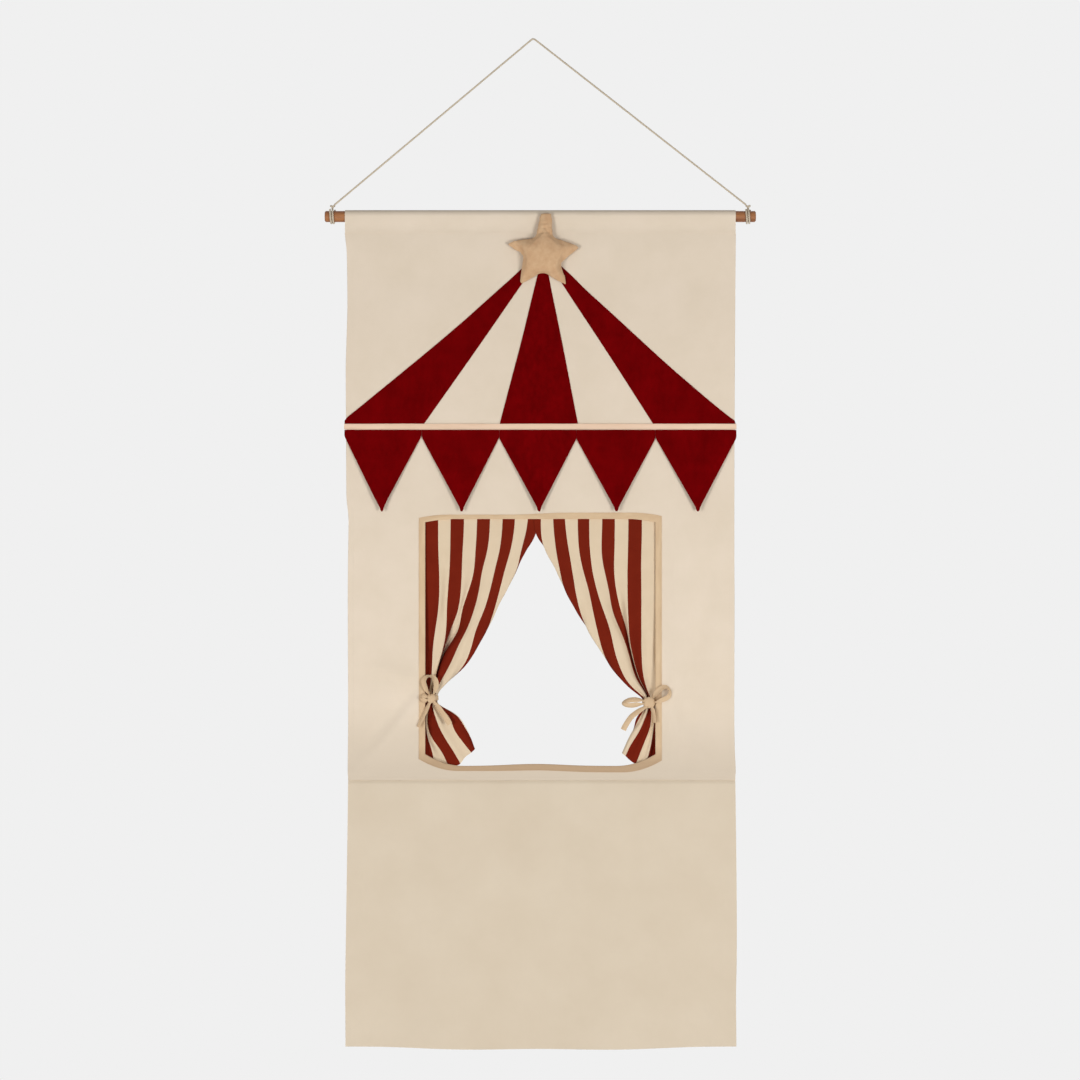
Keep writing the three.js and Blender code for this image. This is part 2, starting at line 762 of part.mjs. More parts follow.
function buildCurtain(side) {
  const columns = pleatCount * pleatSteps;
  const frontLimit = bindingBack + clearance + curtainCloth / 2;
  const grids = { front: [], back: [] };
  for (const row of curtainRows(side)) {
    const depth = pleatDepth(row);
    const width = row.outer - row.inner;
    const lines = { front: [], back: [] };
    for (let column = 0; column <= columns; column += 1) {
      const across = column / columns;
      const phase = 2 * Math.PI * pleatCount * across;
      const x = side.sign * (row.inner + width * across);
      const y = frontLimit + depth * (1 - Math.cos(phase));
      const slope = new THREE.Vector2(side.sign * width, 2 * Math.PI * pleatCount * depth * Math.sin(phase));
      const normal = new THREE.Vector2(-slope.y, slope.x).setLength((side.sign * curtainCloth) / 2);
      const z = -openingDrop - row.drop - row.hang * hemShare(across);
      lines.front.push(new THREE.Vector3(x - normal.x, y - normal.y, z));
      lines.back.push(new THREE.Vector3(x + normal.x, y + normal.y, z));
    }
    const order = (line) => (side.sign > 0 ? line : line.reverse());
    grids.front.push(order(lines.front));
    grids.back.push(order(lines.back));
  }
  add(panel, side.name + "_curtain", clothSolid(grids.front, grids.back), stripedCloth);
}

// Where a strap that leaves the knot in a direction starts, just clear of the knot's surface
function strapRoot(direction, depth, halfThickness) {
  const nearest = Math.max(0, Math.abs(depth) - halfThickness);
  const roundness = Math.sqrt(1 - (nearest / (bowKnotDepth / 2)) ** 2);
  const unit = new THREE.Vector2(...direction).normalize();
  const reach = roundness / Math.hypot(unit.x / (bowKnotWidth / 2), unit.y / (bowKnotHeight / 2));
  return new THREE.Vector3(unit.x, 0, unit.y).multiplyScalar(reach + strapRootGap);
}

// A flat strap along a smooth line, drawn as places round the bow's knot and gathered at the knot
function strap(places, knotPlace, depth, tilt, isLoop) {
  const section = [[-1, -1], [-1, 1], [1, 1], [1, -1]].map(([x, y]) => new THREE.Vector2(x, y));
  const halfDepth = (tapeWidth * strapRootShare * Math.cos(tilt) + tape * Math.sin(tilt)) / 2;
  const route = places.map(([aside, up], order) => {
    const atKnot = order === 0 || (isLoop && order === places.length - 1);
    if (atKnot) return strapRoot([aside, up], depth, halfDepth);
    return new THREE.Vector3(aside * bowReach, 0, up * bowReach);
  });
  const line = new THREE.CatmullRomCurve3(route);
  const length = line.getLength();
  const rings = line.getSpacedPoints(strapSteps).map((point, place) => {
    const run = (length * place) / strapSteps;
    const fromKnot = isLoop ? Math.min(run, length - run) : run;
    const width = tapeWidth * THREE.MathUtils.lerp(strapRootShare, 1, Math.min(1, fromKnot / strapRootRun));
    const along = line.getTangentAt(place / strapSteps);
    const flat = new THREE.Vector3(-along.z, 0, along.x);
    const across = new THREE.Vector3(0, -Math.cos(tilt), 0).addScaledVector(flat, Math.sin(tilt));
    const through = across.clone().cross(along).normalize();
    const centre = point.clone().add(knotPlace).add(new THREE.Vector3(0, depth, 0));
    return section.map(({ x, y }) =>
      centre.clone().addScaledVector(across, (x * width) / 2).addScaledVector(through, (y * tape) / 2));
  });
  return loft(rings, section);
}

// The tape round one curtain: a band, a knot, two loops and two tails
function buildTie(side) {
  const outerTie = openingWidth / 2 - clearance - tape - clearance;
  const middle = outerTie - bundleWidth / 2;
  const depth = pleatDepth({ outer: outerTie, inner: outerTie - bundleWidth });
  const bundleFront = bindingBack + clearance;
  const bundleDepth = 2 * depth + curtainCloth;
  const level = -openingDrop - side.tieDrop;
  const hollowWidth = bundleWidth + curtainCloth + 2 * clearance;
  const hollowDepth = bundleDepth + 2 * clearance;
  const box = (halfX, halfY) => [
    new THREE.Vector2(-halfX, -halfY),
    new THREE.Vector2(halfX, -halfY),
    new THREE.Vector2(halfX, halfY),
    new THREE.Vector2(-halfX, halfY),
  ];
  const ring = roundedShape(box(hollowWidth / 2 + tape, hollowDepth / 2 + tape), tape + clearance);
  ring.holes.push(new THREE.Path(box(hollowWidth / 2, hollowDepth / 2)));
  const loop = extruded(ring, tapeWidth, bandCornerSteps);
  add(panel, side.name + "_tie_band", loop, bindingTape).position.set(
    side.sign * middle,
    bundleFront + bundleDepth / 2,
    level - tapeWidth / 2,
  );

  const bandFront = bundleFront - clearance - tape;
  const knotPlace = new THREE.Vector3(side.sign * middle, bandFront - clearance - bowKnotDepth / 2, level);
  const knot = new THREE.SphereGeometry(1, knotSides, knotRings);
  knot.scale(bowKnotWidth / 2, bowKnotDepth / 2, bowKnotHeight / 2);
  add(panel, side.name + "_bow_knot", knot, bindingTape).position.copy(knotPlace);
  const strapDepth = front - bindingCloth - clearance - tapeWidth / 2 - knotPlace.y;
  for (const [place, points] of Object.entries(side.loops)) {
    const loop = strap(points, knotPlace, strapDepth, bowTilt, true);
    add(panel, side.name + "_bow_loop_" + place, loop, bindingTape);
  }
  Object.entries(side.tails).forEach(([place, points], order) => {
    const depth = strapDepth + (order === 0 ? -tailSpacing : tailSpacing);
    const tail = strap(points, knotPlace, depth, Math.PI / 2, false);
    add(panel, side.name + "_bow_tail_" + place, tail, bindingTape);
  });
}

buildCord();
buildRod();
buildPocket();
buildUpperPanel();
buildLowerPanel();
buildRoof();
buildPennants();
buildStar();
buildBinding();
for (const side of sides) {
  buildCurtain(side);
  buildTie(side);
}

export default theatre;
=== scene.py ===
import math

import bmesh
import bpy
from mathutils import Matrix, Vector, noise


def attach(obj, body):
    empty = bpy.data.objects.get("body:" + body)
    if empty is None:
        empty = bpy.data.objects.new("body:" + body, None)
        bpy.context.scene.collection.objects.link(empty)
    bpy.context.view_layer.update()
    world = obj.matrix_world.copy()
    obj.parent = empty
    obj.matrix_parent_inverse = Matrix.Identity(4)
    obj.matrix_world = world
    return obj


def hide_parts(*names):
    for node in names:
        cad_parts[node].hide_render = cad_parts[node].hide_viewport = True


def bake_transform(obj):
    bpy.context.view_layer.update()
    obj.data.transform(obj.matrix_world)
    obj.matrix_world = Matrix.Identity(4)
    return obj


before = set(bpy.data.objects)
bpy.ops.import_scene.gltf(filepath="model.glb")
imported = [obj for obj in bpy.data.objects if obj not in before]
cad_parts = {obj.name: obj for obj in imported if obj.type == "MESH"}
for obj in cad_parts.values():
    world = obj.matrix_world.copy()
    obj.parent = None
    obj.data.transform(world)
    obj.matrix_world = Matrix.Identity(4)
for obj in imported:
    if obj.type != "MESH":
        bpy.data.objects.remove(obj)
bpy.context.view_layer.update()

# Sizes in mm. On the panel, x runs from its middle, y backwards from its middle plane, and drop
# downwards from its top edge.
PANEL_MIDDLE = 14
PANEL_TOP = -337.5
PANEL_WIDTH = 770
WAIST_WIDTH = 758
HEM_WIDTH = 774
POCKET_DROP = 45
POCKET_LEAN = 5
POCKET_PLAY = 0.3
WAIST_DROP = 1125
HEM_DROP = 1650
HEM_SAG = 6
CANVAS = 1.2
WAIST_LAP = 12
SIDE_HEM = 12
# The side hem's fold: how far in from the edge, and how far back
SIDE_FOLD = ((0, 0), (0.2, 0.75), (1, 1.25), (6, 1.25), (SIDE_HEM, 1.2))
BOTTOM_HEM = 22
# Where the cloth swells forward above the waist, where it is full and where it is flat again
BELLY = (1000, 1085, 1131)
LAP_RISE = (1088, 1114)
ROLL_START = 1120.5
ROLL_LENGTH = 4.5
COLUMN = 7

ROD_DROP = 350
ROD_RADIUS = 11
STRANDS = 3
STRAND_SIDES = 6
STRAND_GIRTH = 3
STRAND_RADIUS = 0.94
STRAND_PLACE = 1.04
LAY = 12
KNOT_LAY = 10
WINDING_RADIUS = 13.3
WINDING_PITCH = 4.7
WINDING_START = math.radians(52)
WINDING_TAIL = 6.6
KNOT_HEIGHT = -330.9
KNOT_PLACES = {"left": -396, "right": 424}

ROOF_WIDTH = 774
ROOF_DROP = 422
RIBBON_HEIGHT = 11
PENNANTS = 5
PENNANT_DROP = 161
PENNANT_TIP = 7
PENNANT_LIFT = 9
STAR_PLACE = Vector((5, -11.5, 88))
STAR_LEAN = 0.1
STAR_FRONT = 19
STAR_BACK = 3.8
STAR_GRAIN = 2.8
STAR_FLAT = 2.2
STUFFING_FRAMES = 25
GATHER_WIDTH = 1.6
FURTHEST_SWELL = 24
# The star's cut outline as (x, drop), and where it lies once it is stuffed: left, right, top, foot
STAR_CORNERS = [(4.5, 7), (26, 7), (32, 50), (82, 74), (50, 108), (55, 150), (8, 129), (-37, 147),
                (-38, 92), (-65, 67), (-11, 50)]
STAR_SPAN = (-63.5, 74.5, 8, 146.5)
# The gathers across the star's upper arm: how high, and how deep. A shallow ring lies above them.
GATHERS = ((61, 2.6), (53.5, 2.6), (43, 3.0), (36.7, 2.4))
GATHER_MIDDLE = 5
GATHER_HALF = 17
RING_HEIGHT = 70
RING_RADIUS = 4.2

WINDOW_SIDES = ("left", "top", "right", "bottom")
WINDOW_HALF = 227
WINDOW_TOP = 613
WINDOW_HEIGHT = 480
HEAD_LIFT = 3.7
HEAD_RISE = 6.5
HEAD_SHOULDER = 60
SILL_SAG = 20
SILL_SLACK = 3.4
SILL_SHOULDER = 78
BINDING_WIDTH = 12.5
# How far the canvas is cut back inside the binding
WINDOW_GAP = 1.3

# The edges of the roof's velvet wedges as (drop, x), from under the star to under the ribbon
WEDGE_EDGES = {
    "left": ([(92, -13), (107.3, -28), (137.6, -60.6), (177.1, -104.8), (216.5, -148.6), (275.8, -218.3),
              (335, -290.2), (394.2, -362.8), (410, -382), (415, -386), (430, -386.5)],
             [(92, 1.3), (157.3, -44.4), (275.8, -126.7), (410, -221.3), (430, -235.3)]),
    "middle": ([(100, 2), (157.3, -12.6), (246.2, -34.2), (410, -77), (430, -82.1)],
               [(100, 11), (157.3, 21.9), (246.2, 40), (410, 71.9), (430, 75.9)]),
    "right": ([(92, 9.3), (157.3, 51), (275.8, 129.2), (410, 215.2), (430, 228)],
              [(92, 21), (127.7, 60), (157.3, 89.8), (196.8, 133.2), (246.2, 186.7), (305.4, 251.4),
               (364.6, 320), (394.2, 355.7), (410, 376), (416, 384), (430, 386.5)]),
}
# Where the pennants meet, how far each one's sides run down, and how far its tip hangs aside
PENNANT_ENDS = (-386.5, -233.8, -81.1, 71.2, 226.6, 387)
PENNANT_SIDES = (13, 16, 18, 19, 16)
PENNANT_TIPS = (-3.5, 2.5, 2.7, 1.2, 3.4)

VELVET_THICKNESS = 1.3
PENNANT_THICKNESS = 1.9
FOLDED_TAPE = 0.9
CURTAIN_THICKNESS = 0.6
# How far back the stitches lie on the canvas, on the binding and on the ribbon
CANVAS_FACE = -0.62
BINDING_FACE = -1.62
RIBBON_FACE = -3.15
STITCH_HEIGHT = 0.26
STITCH_HALF = 0.32
TAPE_WIDTH = 10
TAPE_THICKNESS = 1
KNOT_SIZES = {"left": (9.5, 8.8, 5.6), "right": (11.8, 10.6, 5.6)}
KNOT_FRONT = -4.9
# The tie's band: its edges, half its breadth and depth, how far back its middle is, and how square
BAND_LEVELS = (-4.5, -4.1, -2.6, 0, 2.6, 4.1, 4.5)
BAND_HALF = 15
BAND_DEEP = 12.3
BAND_BACK = 13.4
BAND_SQUARE = 3.2
TAPE_DEPTH = -2.3
BOW_REACH = 50
STRIPE = 25
TUCK = 7
HEADING_DROP = 598
CURTAIN_ROWS = 108
TIE_SHARE = 0.72
CURTAIN_BACK = 2.25
FURTHEST_BACK = 24.8
SOFT_PASSES = 14
SOFT_REACH = 70
PLEAT = 27
PLEAT_DEPTH = 6

# The cord's line from knot to knot over its hook
CORD_ROUTE = [
    (-392, 0, -326.8), (-330, 0, -274.9), (-262, 0, -217.9), (-194, 0, -160.9), (-126, 0, -103.9),
    (-66, 0, -53.6), (-30, 0, -23.4), (-12.5, 0, -8.7), (-6.4, 0, -3.6), (-3, 0, -0.8), (0, 0, 0.4),
    (3.2, 0, -0.9), (7, 0, -3.6), (14, 0, -9), (34, 0, -24.7), (72, 0, -54.4), (136, 0, -104.5),
    (208, 0, -160.9), (280, 0, -217.3), (352, 0, -273.7), (420, 0, -326.9),
]


def table(text):
    """Reads rows of 'first: x back, x back, ...;' with a node every 25 mm across from 0. A node that
    lies elsewhere has its place before its x, and the one after it is at the next multiple of 25."""
    rows = []
    for row in text.split(";"):
        first, nodes = row.split(":")
        across, line = -25, []
        for node in nodes.split(","):
            *place, x, back = map(float, node.split())
            across = place[0] if place else 25 * (across // 25 + 1)
            line.append((across, x, back))
        rows.append((float(first), line))
    return rows


# How each curtain hangs. A row has a drop and then, for places across the flat cloth, where the cloth
# lies on the panel and how far back. Below the tie a row's first number is its share of the flare, and
# the hem has its drop at places across the cloth.
HUNG = {"left": table("""
611.3: -227 1, -201.3 0, -176.7 0.8, -150 0, -124.4 0.8, -98.7 0, -74 0.8, -49.4 0, -23.7 0.5, 218 -4 1.6;
639: -226 1, -201.3 0, -177.3 1, -151 0, -125.5 1, -100.1 0, -75.8 1, -52.3 0, -28.6 0.5, 218 -7.6 1.6;
670.6: -225.6 1.5, -201 0, -177.7 1.5, -153 0.5, -127.7 2, -103.6 0, -79.9 0.5, -58.2 0, -37.5 0,
213 -26.6 1, 218 -27.6 4;
710: -225 1.5, -199.4 0, -179 2.5, -154.6 2, -130.3 5, -114.5 1, -89.8 0.5, -70.1 0, -46.2 1, 203 -45.4 2,
218 -57.2 8;
749.5: -224 2, -198.8 0, -182.2 4, -156.5 4, -141.1 7, -120.4 1, -98.7 0, -79.9 0.5, 193 -65.1 3, -67.1 6,
218 -80.9 12;
789: -223.1 3, -201.3 0, -184.6 4, -161.9 7, -154.6 8, -130.3 0, -110.5 0, -90.8 2, 181 -85.9 4, -94.8 10,
218 -106.6 14;
828.5: -222.1 4, -207.3 0.5, -185.6 2, -177.7 11, -160.9 9, -145.1 0, -127.3 0, -104.6 4, -116.5 12,
218 -128.3 16;
868: -221.5 6, -212.2 1.5, -192.5 2, -190.5 14, -186.5 8, -165.8 0, -137.2 1.5, 165 -126.3 6, -129.3 9,
-144.1 16, 218 -155.9 20;
887.7: -221.5 7, -213.2 1.5, -198.4 2, -198.4 15, -195.8 8, -172.7 0, -145.1 3, 160 -138.2 7, -142.1 12,
-154 18, 218 -163.8 21;
907.4: -221.9 8, -213.6 2, -204.3 2, -204.3 15, -202.3 7, -183.6 0.5, -155.9 4, 155 -153 7, -159.9 14,
-169.8 19, 218 -177.7 22;
927.2: -222.7 10, -215.2 2.5, -207.9 1.5, -207.3 13, -205.7 6, -194.4 1, 140 -177.7 6, -178.6 10, -184.6 16,
-191.5 20, 218 -196.4 22;
943: -223.1 11, -218.1 3, -212.2 1, -211.2 12, -209.2 5.5, -204.3 0.8, 140 -194.4 5, -194.4 9, -196.4 15,
-200.4 20, 218 -205.3 22;
954.8: -223.5 11, -220.1 3, -215.2 0.5, -213.2 12, -211.6 5, -209.2 0.5, -203.9 7, -204.3 14, -207.3 20,
218 -211.2 22;
971.6: -223.5 11, -220.5 4, -217.1 1, -213.2 1, 88 -210.2 8, -207.7 1.5, -204.3 4, -203.5 10, -204.9 16,
-208.3 21, 218 -213.2 22"""), "right": table("""
611.3: 224.4 1, 200.4 0, 174.3 0.8, 148.1 0, 123.4 0.8, 97.7 0, 75 0.8, 49.4 0, 26.3 0.8, 2 0, 236 -11 0;
639: 224.6 1, 200.4 0, 174.3 1, 148.6 0, 123 1, 98.1 0, 75.8 1, 52.7 0, 28.6 0.5, 2.6 0, 236 -9.4 0;
670.6: 225 1, 199.4 0, 174.3 1.5, 149 0.5, 123 1.5, 100.7 0, 79 1, 58.8 0, 33.6 0, 222 10.9 1, 236 17.8 7;
710: 225.8 1, 198.8 0, 173.7 1.5, 148.6 2, 129.3 3, 105.6 0.5, 87.4 2, 66.1 0, 41.5 0.5, 208 33.6 2,
236 47.4 11;
749.5: 226 1, 199.4 0, 173.7 1.5, 153 4, 138.8 5, 114.5 0.5, 98.7 2, 72.1 0, 198 50.7 2.5, 210 55.3 8,
236 67.1 14;
789: 225.4 1, 199.4 0, 174.7 1, 161.9 7, 144.7 5, 127.3 0.5, 106.6 1, 80.9 1, 185 72.1 4, 77 10, 236 90.8 17;
828.5: 224.4 2, 199.4 0, 176.7 2, 174.3 11, 160.9 6, 141.1 0, 115.5 0.5, 168 94.8 4, 180 98.7 9, 104.6 14,
236 116.5 19;
848.2: 223.7 2, 199.4 0, 178.2 3, 177.7 13, 169.2 6, 145.1 0, 120 1, 163 107.6 4, 110.5 9, 118.4 15,
236 128.3 20;
868: 222.7 3, 199.4 0, 182.2 4, 181.6 14, 175.7 6, 149 0, 125.3 2, 156 120 4, 126.3 11, 134.2 17,
236 144.1 21;
887.7: 221.7 3, 200.4 0, 186.2 5, 185.6 14, 180.2 6, 154 0, 148 132.3 4, 160 135.2 9, 138.2 13, 146.1 18,
236 155.9 21.5;
907.4: 221.1 4, 201.3 0.5, 190.1 6, 189.5 13, 183.6 5, 159.9 0, 145 142.7 5, 160 146.1 10, 152 14, 159.9 19,
236 171.7 22;
927.2: 220.7 5, 204.7 1, 196 7, 195.4 12, 189.5 4, 168.8 0.5, 138 159.9 5, 162.9 9, 171.7 15, 179.6 19,
236 191.5 22;
946.9: 221.5 7, 210.8 1.5, 207.6 8, 207.3 11, 203.9 3, 185.6 0.7, 134 179.6 4, 183.6 10, 191.5 15, 197.4 19,
236 205.3 22;
956.8: 222.7 8, 215.2 2, 213.2 10.5, 211.8 11, 209.2 3, 199.4 0.8, 140 193.5 5, 194.4 8, 199.4 14,
204.3 18.5, 236 211.2 22;
963.7: 223.7 8, 218.1 2, 215.2 11, 214.2 11, 212.2 3, 207.3 0.8, 204.5 6, 205.3 13, 209.2 18, 218 213.2 21,
236 217.1 22;
979.5: 219.1 15, 224.4 8, 222.7 3, 219.1 1, 88 216.2 6, 212.8 1, 206.3 1, 204.5 7, 206.3 14, 209.2 19,
236 217.1 22""")}
FLARE = {"left": table("""
0.3: -221.1 9, -226 9, -223.5 13, -204.5 0, 88 -193.5 3.7, -178 1, 115 -165.7 1.5, -161.9 2.2, -165.4 11,
-174.3 17.5, -183.4 20.7, 218 -190.9 22;
0.55: -221.1 8.9, -224 8, -217 14, -190.5 0, 88 -181.2 1.3, -169.8 1, 115 -153.2 2.2, -147.3 3.8,
-155.1 12.9, -164.1 19, -175.5 22, 218 -183.1 22.5;
0.8: -222.4 5.4, -213.5 5, -193 9, -170.7 0, 88 -163 1, -151.8 1.1, 115 -138.9 2.6, -136.1 4.9, -143.7 14.1,
-154.6 20.2, -168.1 22.7, 218 -176.2 23.2;
1: -222.5 3.5, -209.3 6.5, -182.3 3, -157.5 0, 88 -148.8 1, -135.9 1.6, 115 -129.3 4.9, -130.3 8.7,
-138.2 16, -148.5 21, -161.8 23, 218 -171.5 23.5"""), "right": table("""
0.3: 219.1 16, 229.6 12, 36 230.4 9, 224.9 5, 63 222.1 3.7, 218.1 1, 204.2 0.8, 118 197.6 1.6,
135 188.1 4.2, 189.5 9, 197.4 16, 205.3 20, 236 215.2 22.5;
0.55: 219.1 16, 12 225 14, 229.2 12, 36 228.6 9, 220.8 4, 63 217 1.6, 208.7 1, 192.5 0, 118 181 3.1,
135 184.4 9.3, 189.1 12.4, 199.2 18.2, 207.2 21.1, 236 215.2 23;
0.8: 219.1 16, 12 224 15, 228 12, 36 223.5 9, 216.2 3, 63 209.5 1.5, 197.2 1, 176.5 0, 118 169.5 3.9,
135 175.4 10.5, 181.6 14.5, 194.3 19.3, 204.8 22, 236 215.2 23.1;
1: 219.1 16, 12 224 15, 228 11, 36 219 8, 209.5 2.5, 63 202.5 1.5, 188.5 1, 168 0, 118 161.6 4.3,
135 169.7 11, 176.2 15, 190.7 20, 202.9 22, 236 215.1 23.5""")}
HEMS = {"left": [(0, 1084), (25, 1090), (50, 1095), (62, 1096), (70, 1095), (78, 1089), (100, 1070.3),
                 (115, 1063.4), (125, 1062.4), (150, 1065.4), (175, 1069.3), (200, 1071.3), (218, 1073.3)],
        "right": [(0, 1078), (25, 1081), (36, 1083), (50, 1087), (63, 1091), (75, 1092), (88, 1085),
                  (100, 1077), (118, 1071.6), (135, 1070.3), (175, 1069.3), (236, 1067.3)]}

# Where the bows' knots lie as (x, drop), and the tapes as shares of the bow's reach from its knot,
# sideways then up
KNOT_AT = {"left": (-214.4, 963), "right": (214.4, 971)}
BOWS = {
    "left": {
        "loop_upper": [(-0.06, 0.13), (-0.2, 0.34), (-0.3, 0.66), (-0.16, 0.86), (0.08, 0.82),
                       (0.18, 0.58), (0.12, 0.3), (0.06, 0.13)],
        "loop_outer": [(-0.14, 0.07), (-0.3, 0.1), (-0.44, 0.02), (-0.3, -0.09), (-0.14, -0.07)],
        "tail_inner": [(0.09, -0.15), (0.25, -0.33), (0.46, -0.62), (0.72, -1.02)],
        "tail_outer": [(-0.07, -0.16), (-0.2, -0.42), (-0.36, -0.76), (-0.54, -1.12)],
    },
    "right": {
        "loop_inner": [(-0.15, 0.06), (-0.4, 0.11), (-0.76, 0.1), (-1.04, -0.01), (-0.97, -0.1),
                       (-0.7, -0.12), (-0.4, -0.08), (-0.15, -0.05)],
        "loop_outer": [(0.13, 0.1), (0.24, 0.3), (0.44, 0.52), (0.64, 0.6), (0.8, 0.48),
                       (0.76, 0.24), (0.5, 0.1), (0.16, 0.0)],
        "tail_inner": [(-0.09, -0.16), (-0.36, -0.3), (-0.7, -0.56), (-0.92, -0.88), (-1.02, -1.08)],
        "tail_outer": [(0.1, -0.16), (0.16, -0.4), (0.2, -0.8)],
    },
}

# How far the hung cloth's two side edges lie to the right of their straight lines, by drop
WANDERS = ([(45, 0), (90, 3.8), (180, 4.2), (260, 1.8), (320, 0), (560, 0), (611, 4), (690, 2.6),
            (770, 1.6), (1000, 1.2), (1105, 0), (1500, 0), (1640, 2.4)],
           [(480, 0), (690, 1), (770, 1.8), (1000, 2.6), (1065, 3.8), (1105, 5.6), (1244, 5.6), (1400, 4.6),
            (1480, 3.2), (1560, 0.6), (1650, 0)])

# Soft folds of the hung canvas: where one starts and ends (x, drop), half its width and its height
FOLDS = [
    ((-240, 930), (-350, 1075), 13, 4.8),
    ((-262, 985), (-375, 1110), 15, -4.4),
    ((-248, 925), (-330, 900), 14, -3.0),
    ((268, 640), (262, 1100), 14, -1.8),
    ((318, 760), (278, 1110), 20, 4.0),
    ((352, 640), (348, 1100), 20, -1.4),
    ((250, 985), (330, 1100), 16, -3.2),
    ((220, 1135), (52, 1360), 26, -1.9),
    ((118, 1300), (250, 1180), 40, 1.3),
    ((-224, 1135), (-128, 1290), 20, -1.3),
    ((-350, 1330), (-365, 1500), 14, 1.6),
    ((372, 1150), (352, 1600), 16, -1.3),
]


def metres(x, y, z):
    return Vector((x, y, z)) / 1000


def on_panel(x, y, drop):
    return metres(x + PANEL_MIDDLE, y, PANEL_TOP - drop)


def lerp(a, b, share):
    return a + (b - a) * share


def ease(value, low, high):
    """0 below low, 1 above high, and a smooth rise between them."""
    share = min(1, max(0, (value - low) / (high - low)))
    return share * share * (3 - 2 * share)


def hump(value, middle, half_width):
    return math.exp(-((value - middle) / half_width) ** 2)


def noise_at(*place):
    return noise.noise(Vector(place))


def steps_to(start, end, spacing):
    count = max(1, round(abs(end - start) / spacing))
    return [start + (end - start) * k / count for k in range(count + 1)]


def smooth_between(nodes, at, column=1):
    """Reads a smooth line through nodes of a place and values, which never swings past a node."""
    if at <= nodes[0][0]:
        return nodes[0][column]
    if at >= nodes[-1][0]:
        return nodes[-1][column]
    k = max(i for i in range(len(nodes) - 1) if nodes[i][0] <= at)

    def rise(i):
        return (nodes[i + 1][column] - nodes[i][column]) / (nodes[i + 1][0] - nodes[i][0])

    def tangent(i):
        if i in (0, len(nodes) - 1):
            return rise(min(i, len(nodes) - 2))
        before, after = rise(i - 1), rise(i)
        return 0 if before * after <= 0 else 2 * before * after / (before + after)

    width = nodes[k + 1][0] - nodes[k][0]
    t = (at - nodes[k][0]) / width
    return ((1 + 2 * t) * (1 - t) ** 2 * nodes[k][column] + t * (1 - t) ** 2 * width * tangent(k)
            + t * t * (3 - 2 * t) * nodes[k + 1][column] + t * t * (t - 1) * width * tangent(k + 1))


def curve_through(points, steps):
    """Points spaced evenly along a smooth line through the given ones."""
    ends = [2 * points[0] - points[1], *points, 2 * points[-1] - points[-2]]
    fine = []
    for a, b, c, d in zip(ends, ends[1:], ends[2:], ends[3:]):
        for step in range(24):
            t = step / 24
            fine.append(0.5 * (2 * b + (c - a) * t + (2 * a - 5 * b + 4 * c - d) * t * t
                               + (3 * b - a - 3 * c + d) * t ** 3))
    return even(fine + [points[-1].copy()], steps)


def even(line, steps):
    lengths = [0]
    for a, b in zip(line, line[1:]):
        lengths.append(lengths[-1] + (b - a).length)
    out, k = [], 0
    for step in range(steps + 1):
        want = lengths[-1] * step / steps
        while k < len(line) - 2 and lengths[k + 1] < want:
            k += 1
        share = (want - lengths[k]) / max(lengths[k + 1] - lengths[k], 1e-12)
        out.append(line[k].lerp(line[k + 1], min(1, share)))
    return out


def along(line):
    """Goes along a line: each point, the way ahead, a normal that doesn't twist, the length so far."""
    normal, run = None, 0
    for k, here in enumerate(line):
        before = line[max(k - 1, 0)]
        ahead = (line[min(k + 1, len(line) - 1)] - before).normalized()
        if normal is None:
            normal = ahead.orthogonal().normalized()
        normal = (normal - ahead * normal.dot(ahead)).normalized()
        run += (here - before).length
        yield here, ahead, normal, run


# Meshes

def new_shape():
    shape = bmesh.new()
    return shape, shape.loops.layers.uv.new("flat")


def skin(shape, flat, rings, closed=True):
    """Joins rings of (vertex, place on the flat cloth in metres). A closed ring ends where it starts."""
    for upper, lower in zip(rings, rings[1:]):
        for k in range(len(upper) - 1):
            corners = [upper[k], lower[k], lower[k + 1], upper[k + 1]]
            face = shape.faces.new([vert for vert, _ in corners])
            for loop, (_, uv) in zip(face.loops, corners):
                loop[flat].uv = uv
    if closed:
        shape.faces.new([vert for vert, _ in rings[0][:-1]])
        shape.faces.new([vert for vert, _ in rings[-1][-2::-1]])


def closed(shape, places, flat_at):
    """A ring of new vertices, each with its place on the flat cloth, that ends where it starts."""
    verts = [shape.verts.new(place) for place in places]
    return [(vert, flat_at(k)) for k, vert in enumerate(verts + verts[:1])]


def smooth_faces(piece, angle):
    bpy.ops.object.select_all(action="DESELECT")
    piece.select_set(True)
    bpy.context.view_layer.objects.active = piece
    bpy.ops.object.shade_smooth_by_angle(angle=math.radians(angle))


def reworked(piece, kind, **settings):
    """Puts a modifier on the active piece and applies it."""
    modifier = piece.modifiers.new(kind, kind)
    for setting, value in settings.items():
        setattr(modifier, setting, value)
    bpy.ops.object.modifier_apply(modifier=modifier.name)


def finish_mesh(name, shape, finish, body, stands_for=(), smooth=40):
    mesh = bpy.data.meshes.new(name)
    shape.to_mesh(mesh)
    shape.free()
    piece = bpy.data.objects.new(name, mesh)
    bpy.context.scene.collection.objects.link(piece)
    material, slot = finish
    mesh.materials.append(material)
    smooth_faces(piece, smooth)
    if body:
        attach(piece, body)
    if stands_for:
        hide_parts(*stands_for)
    return piece


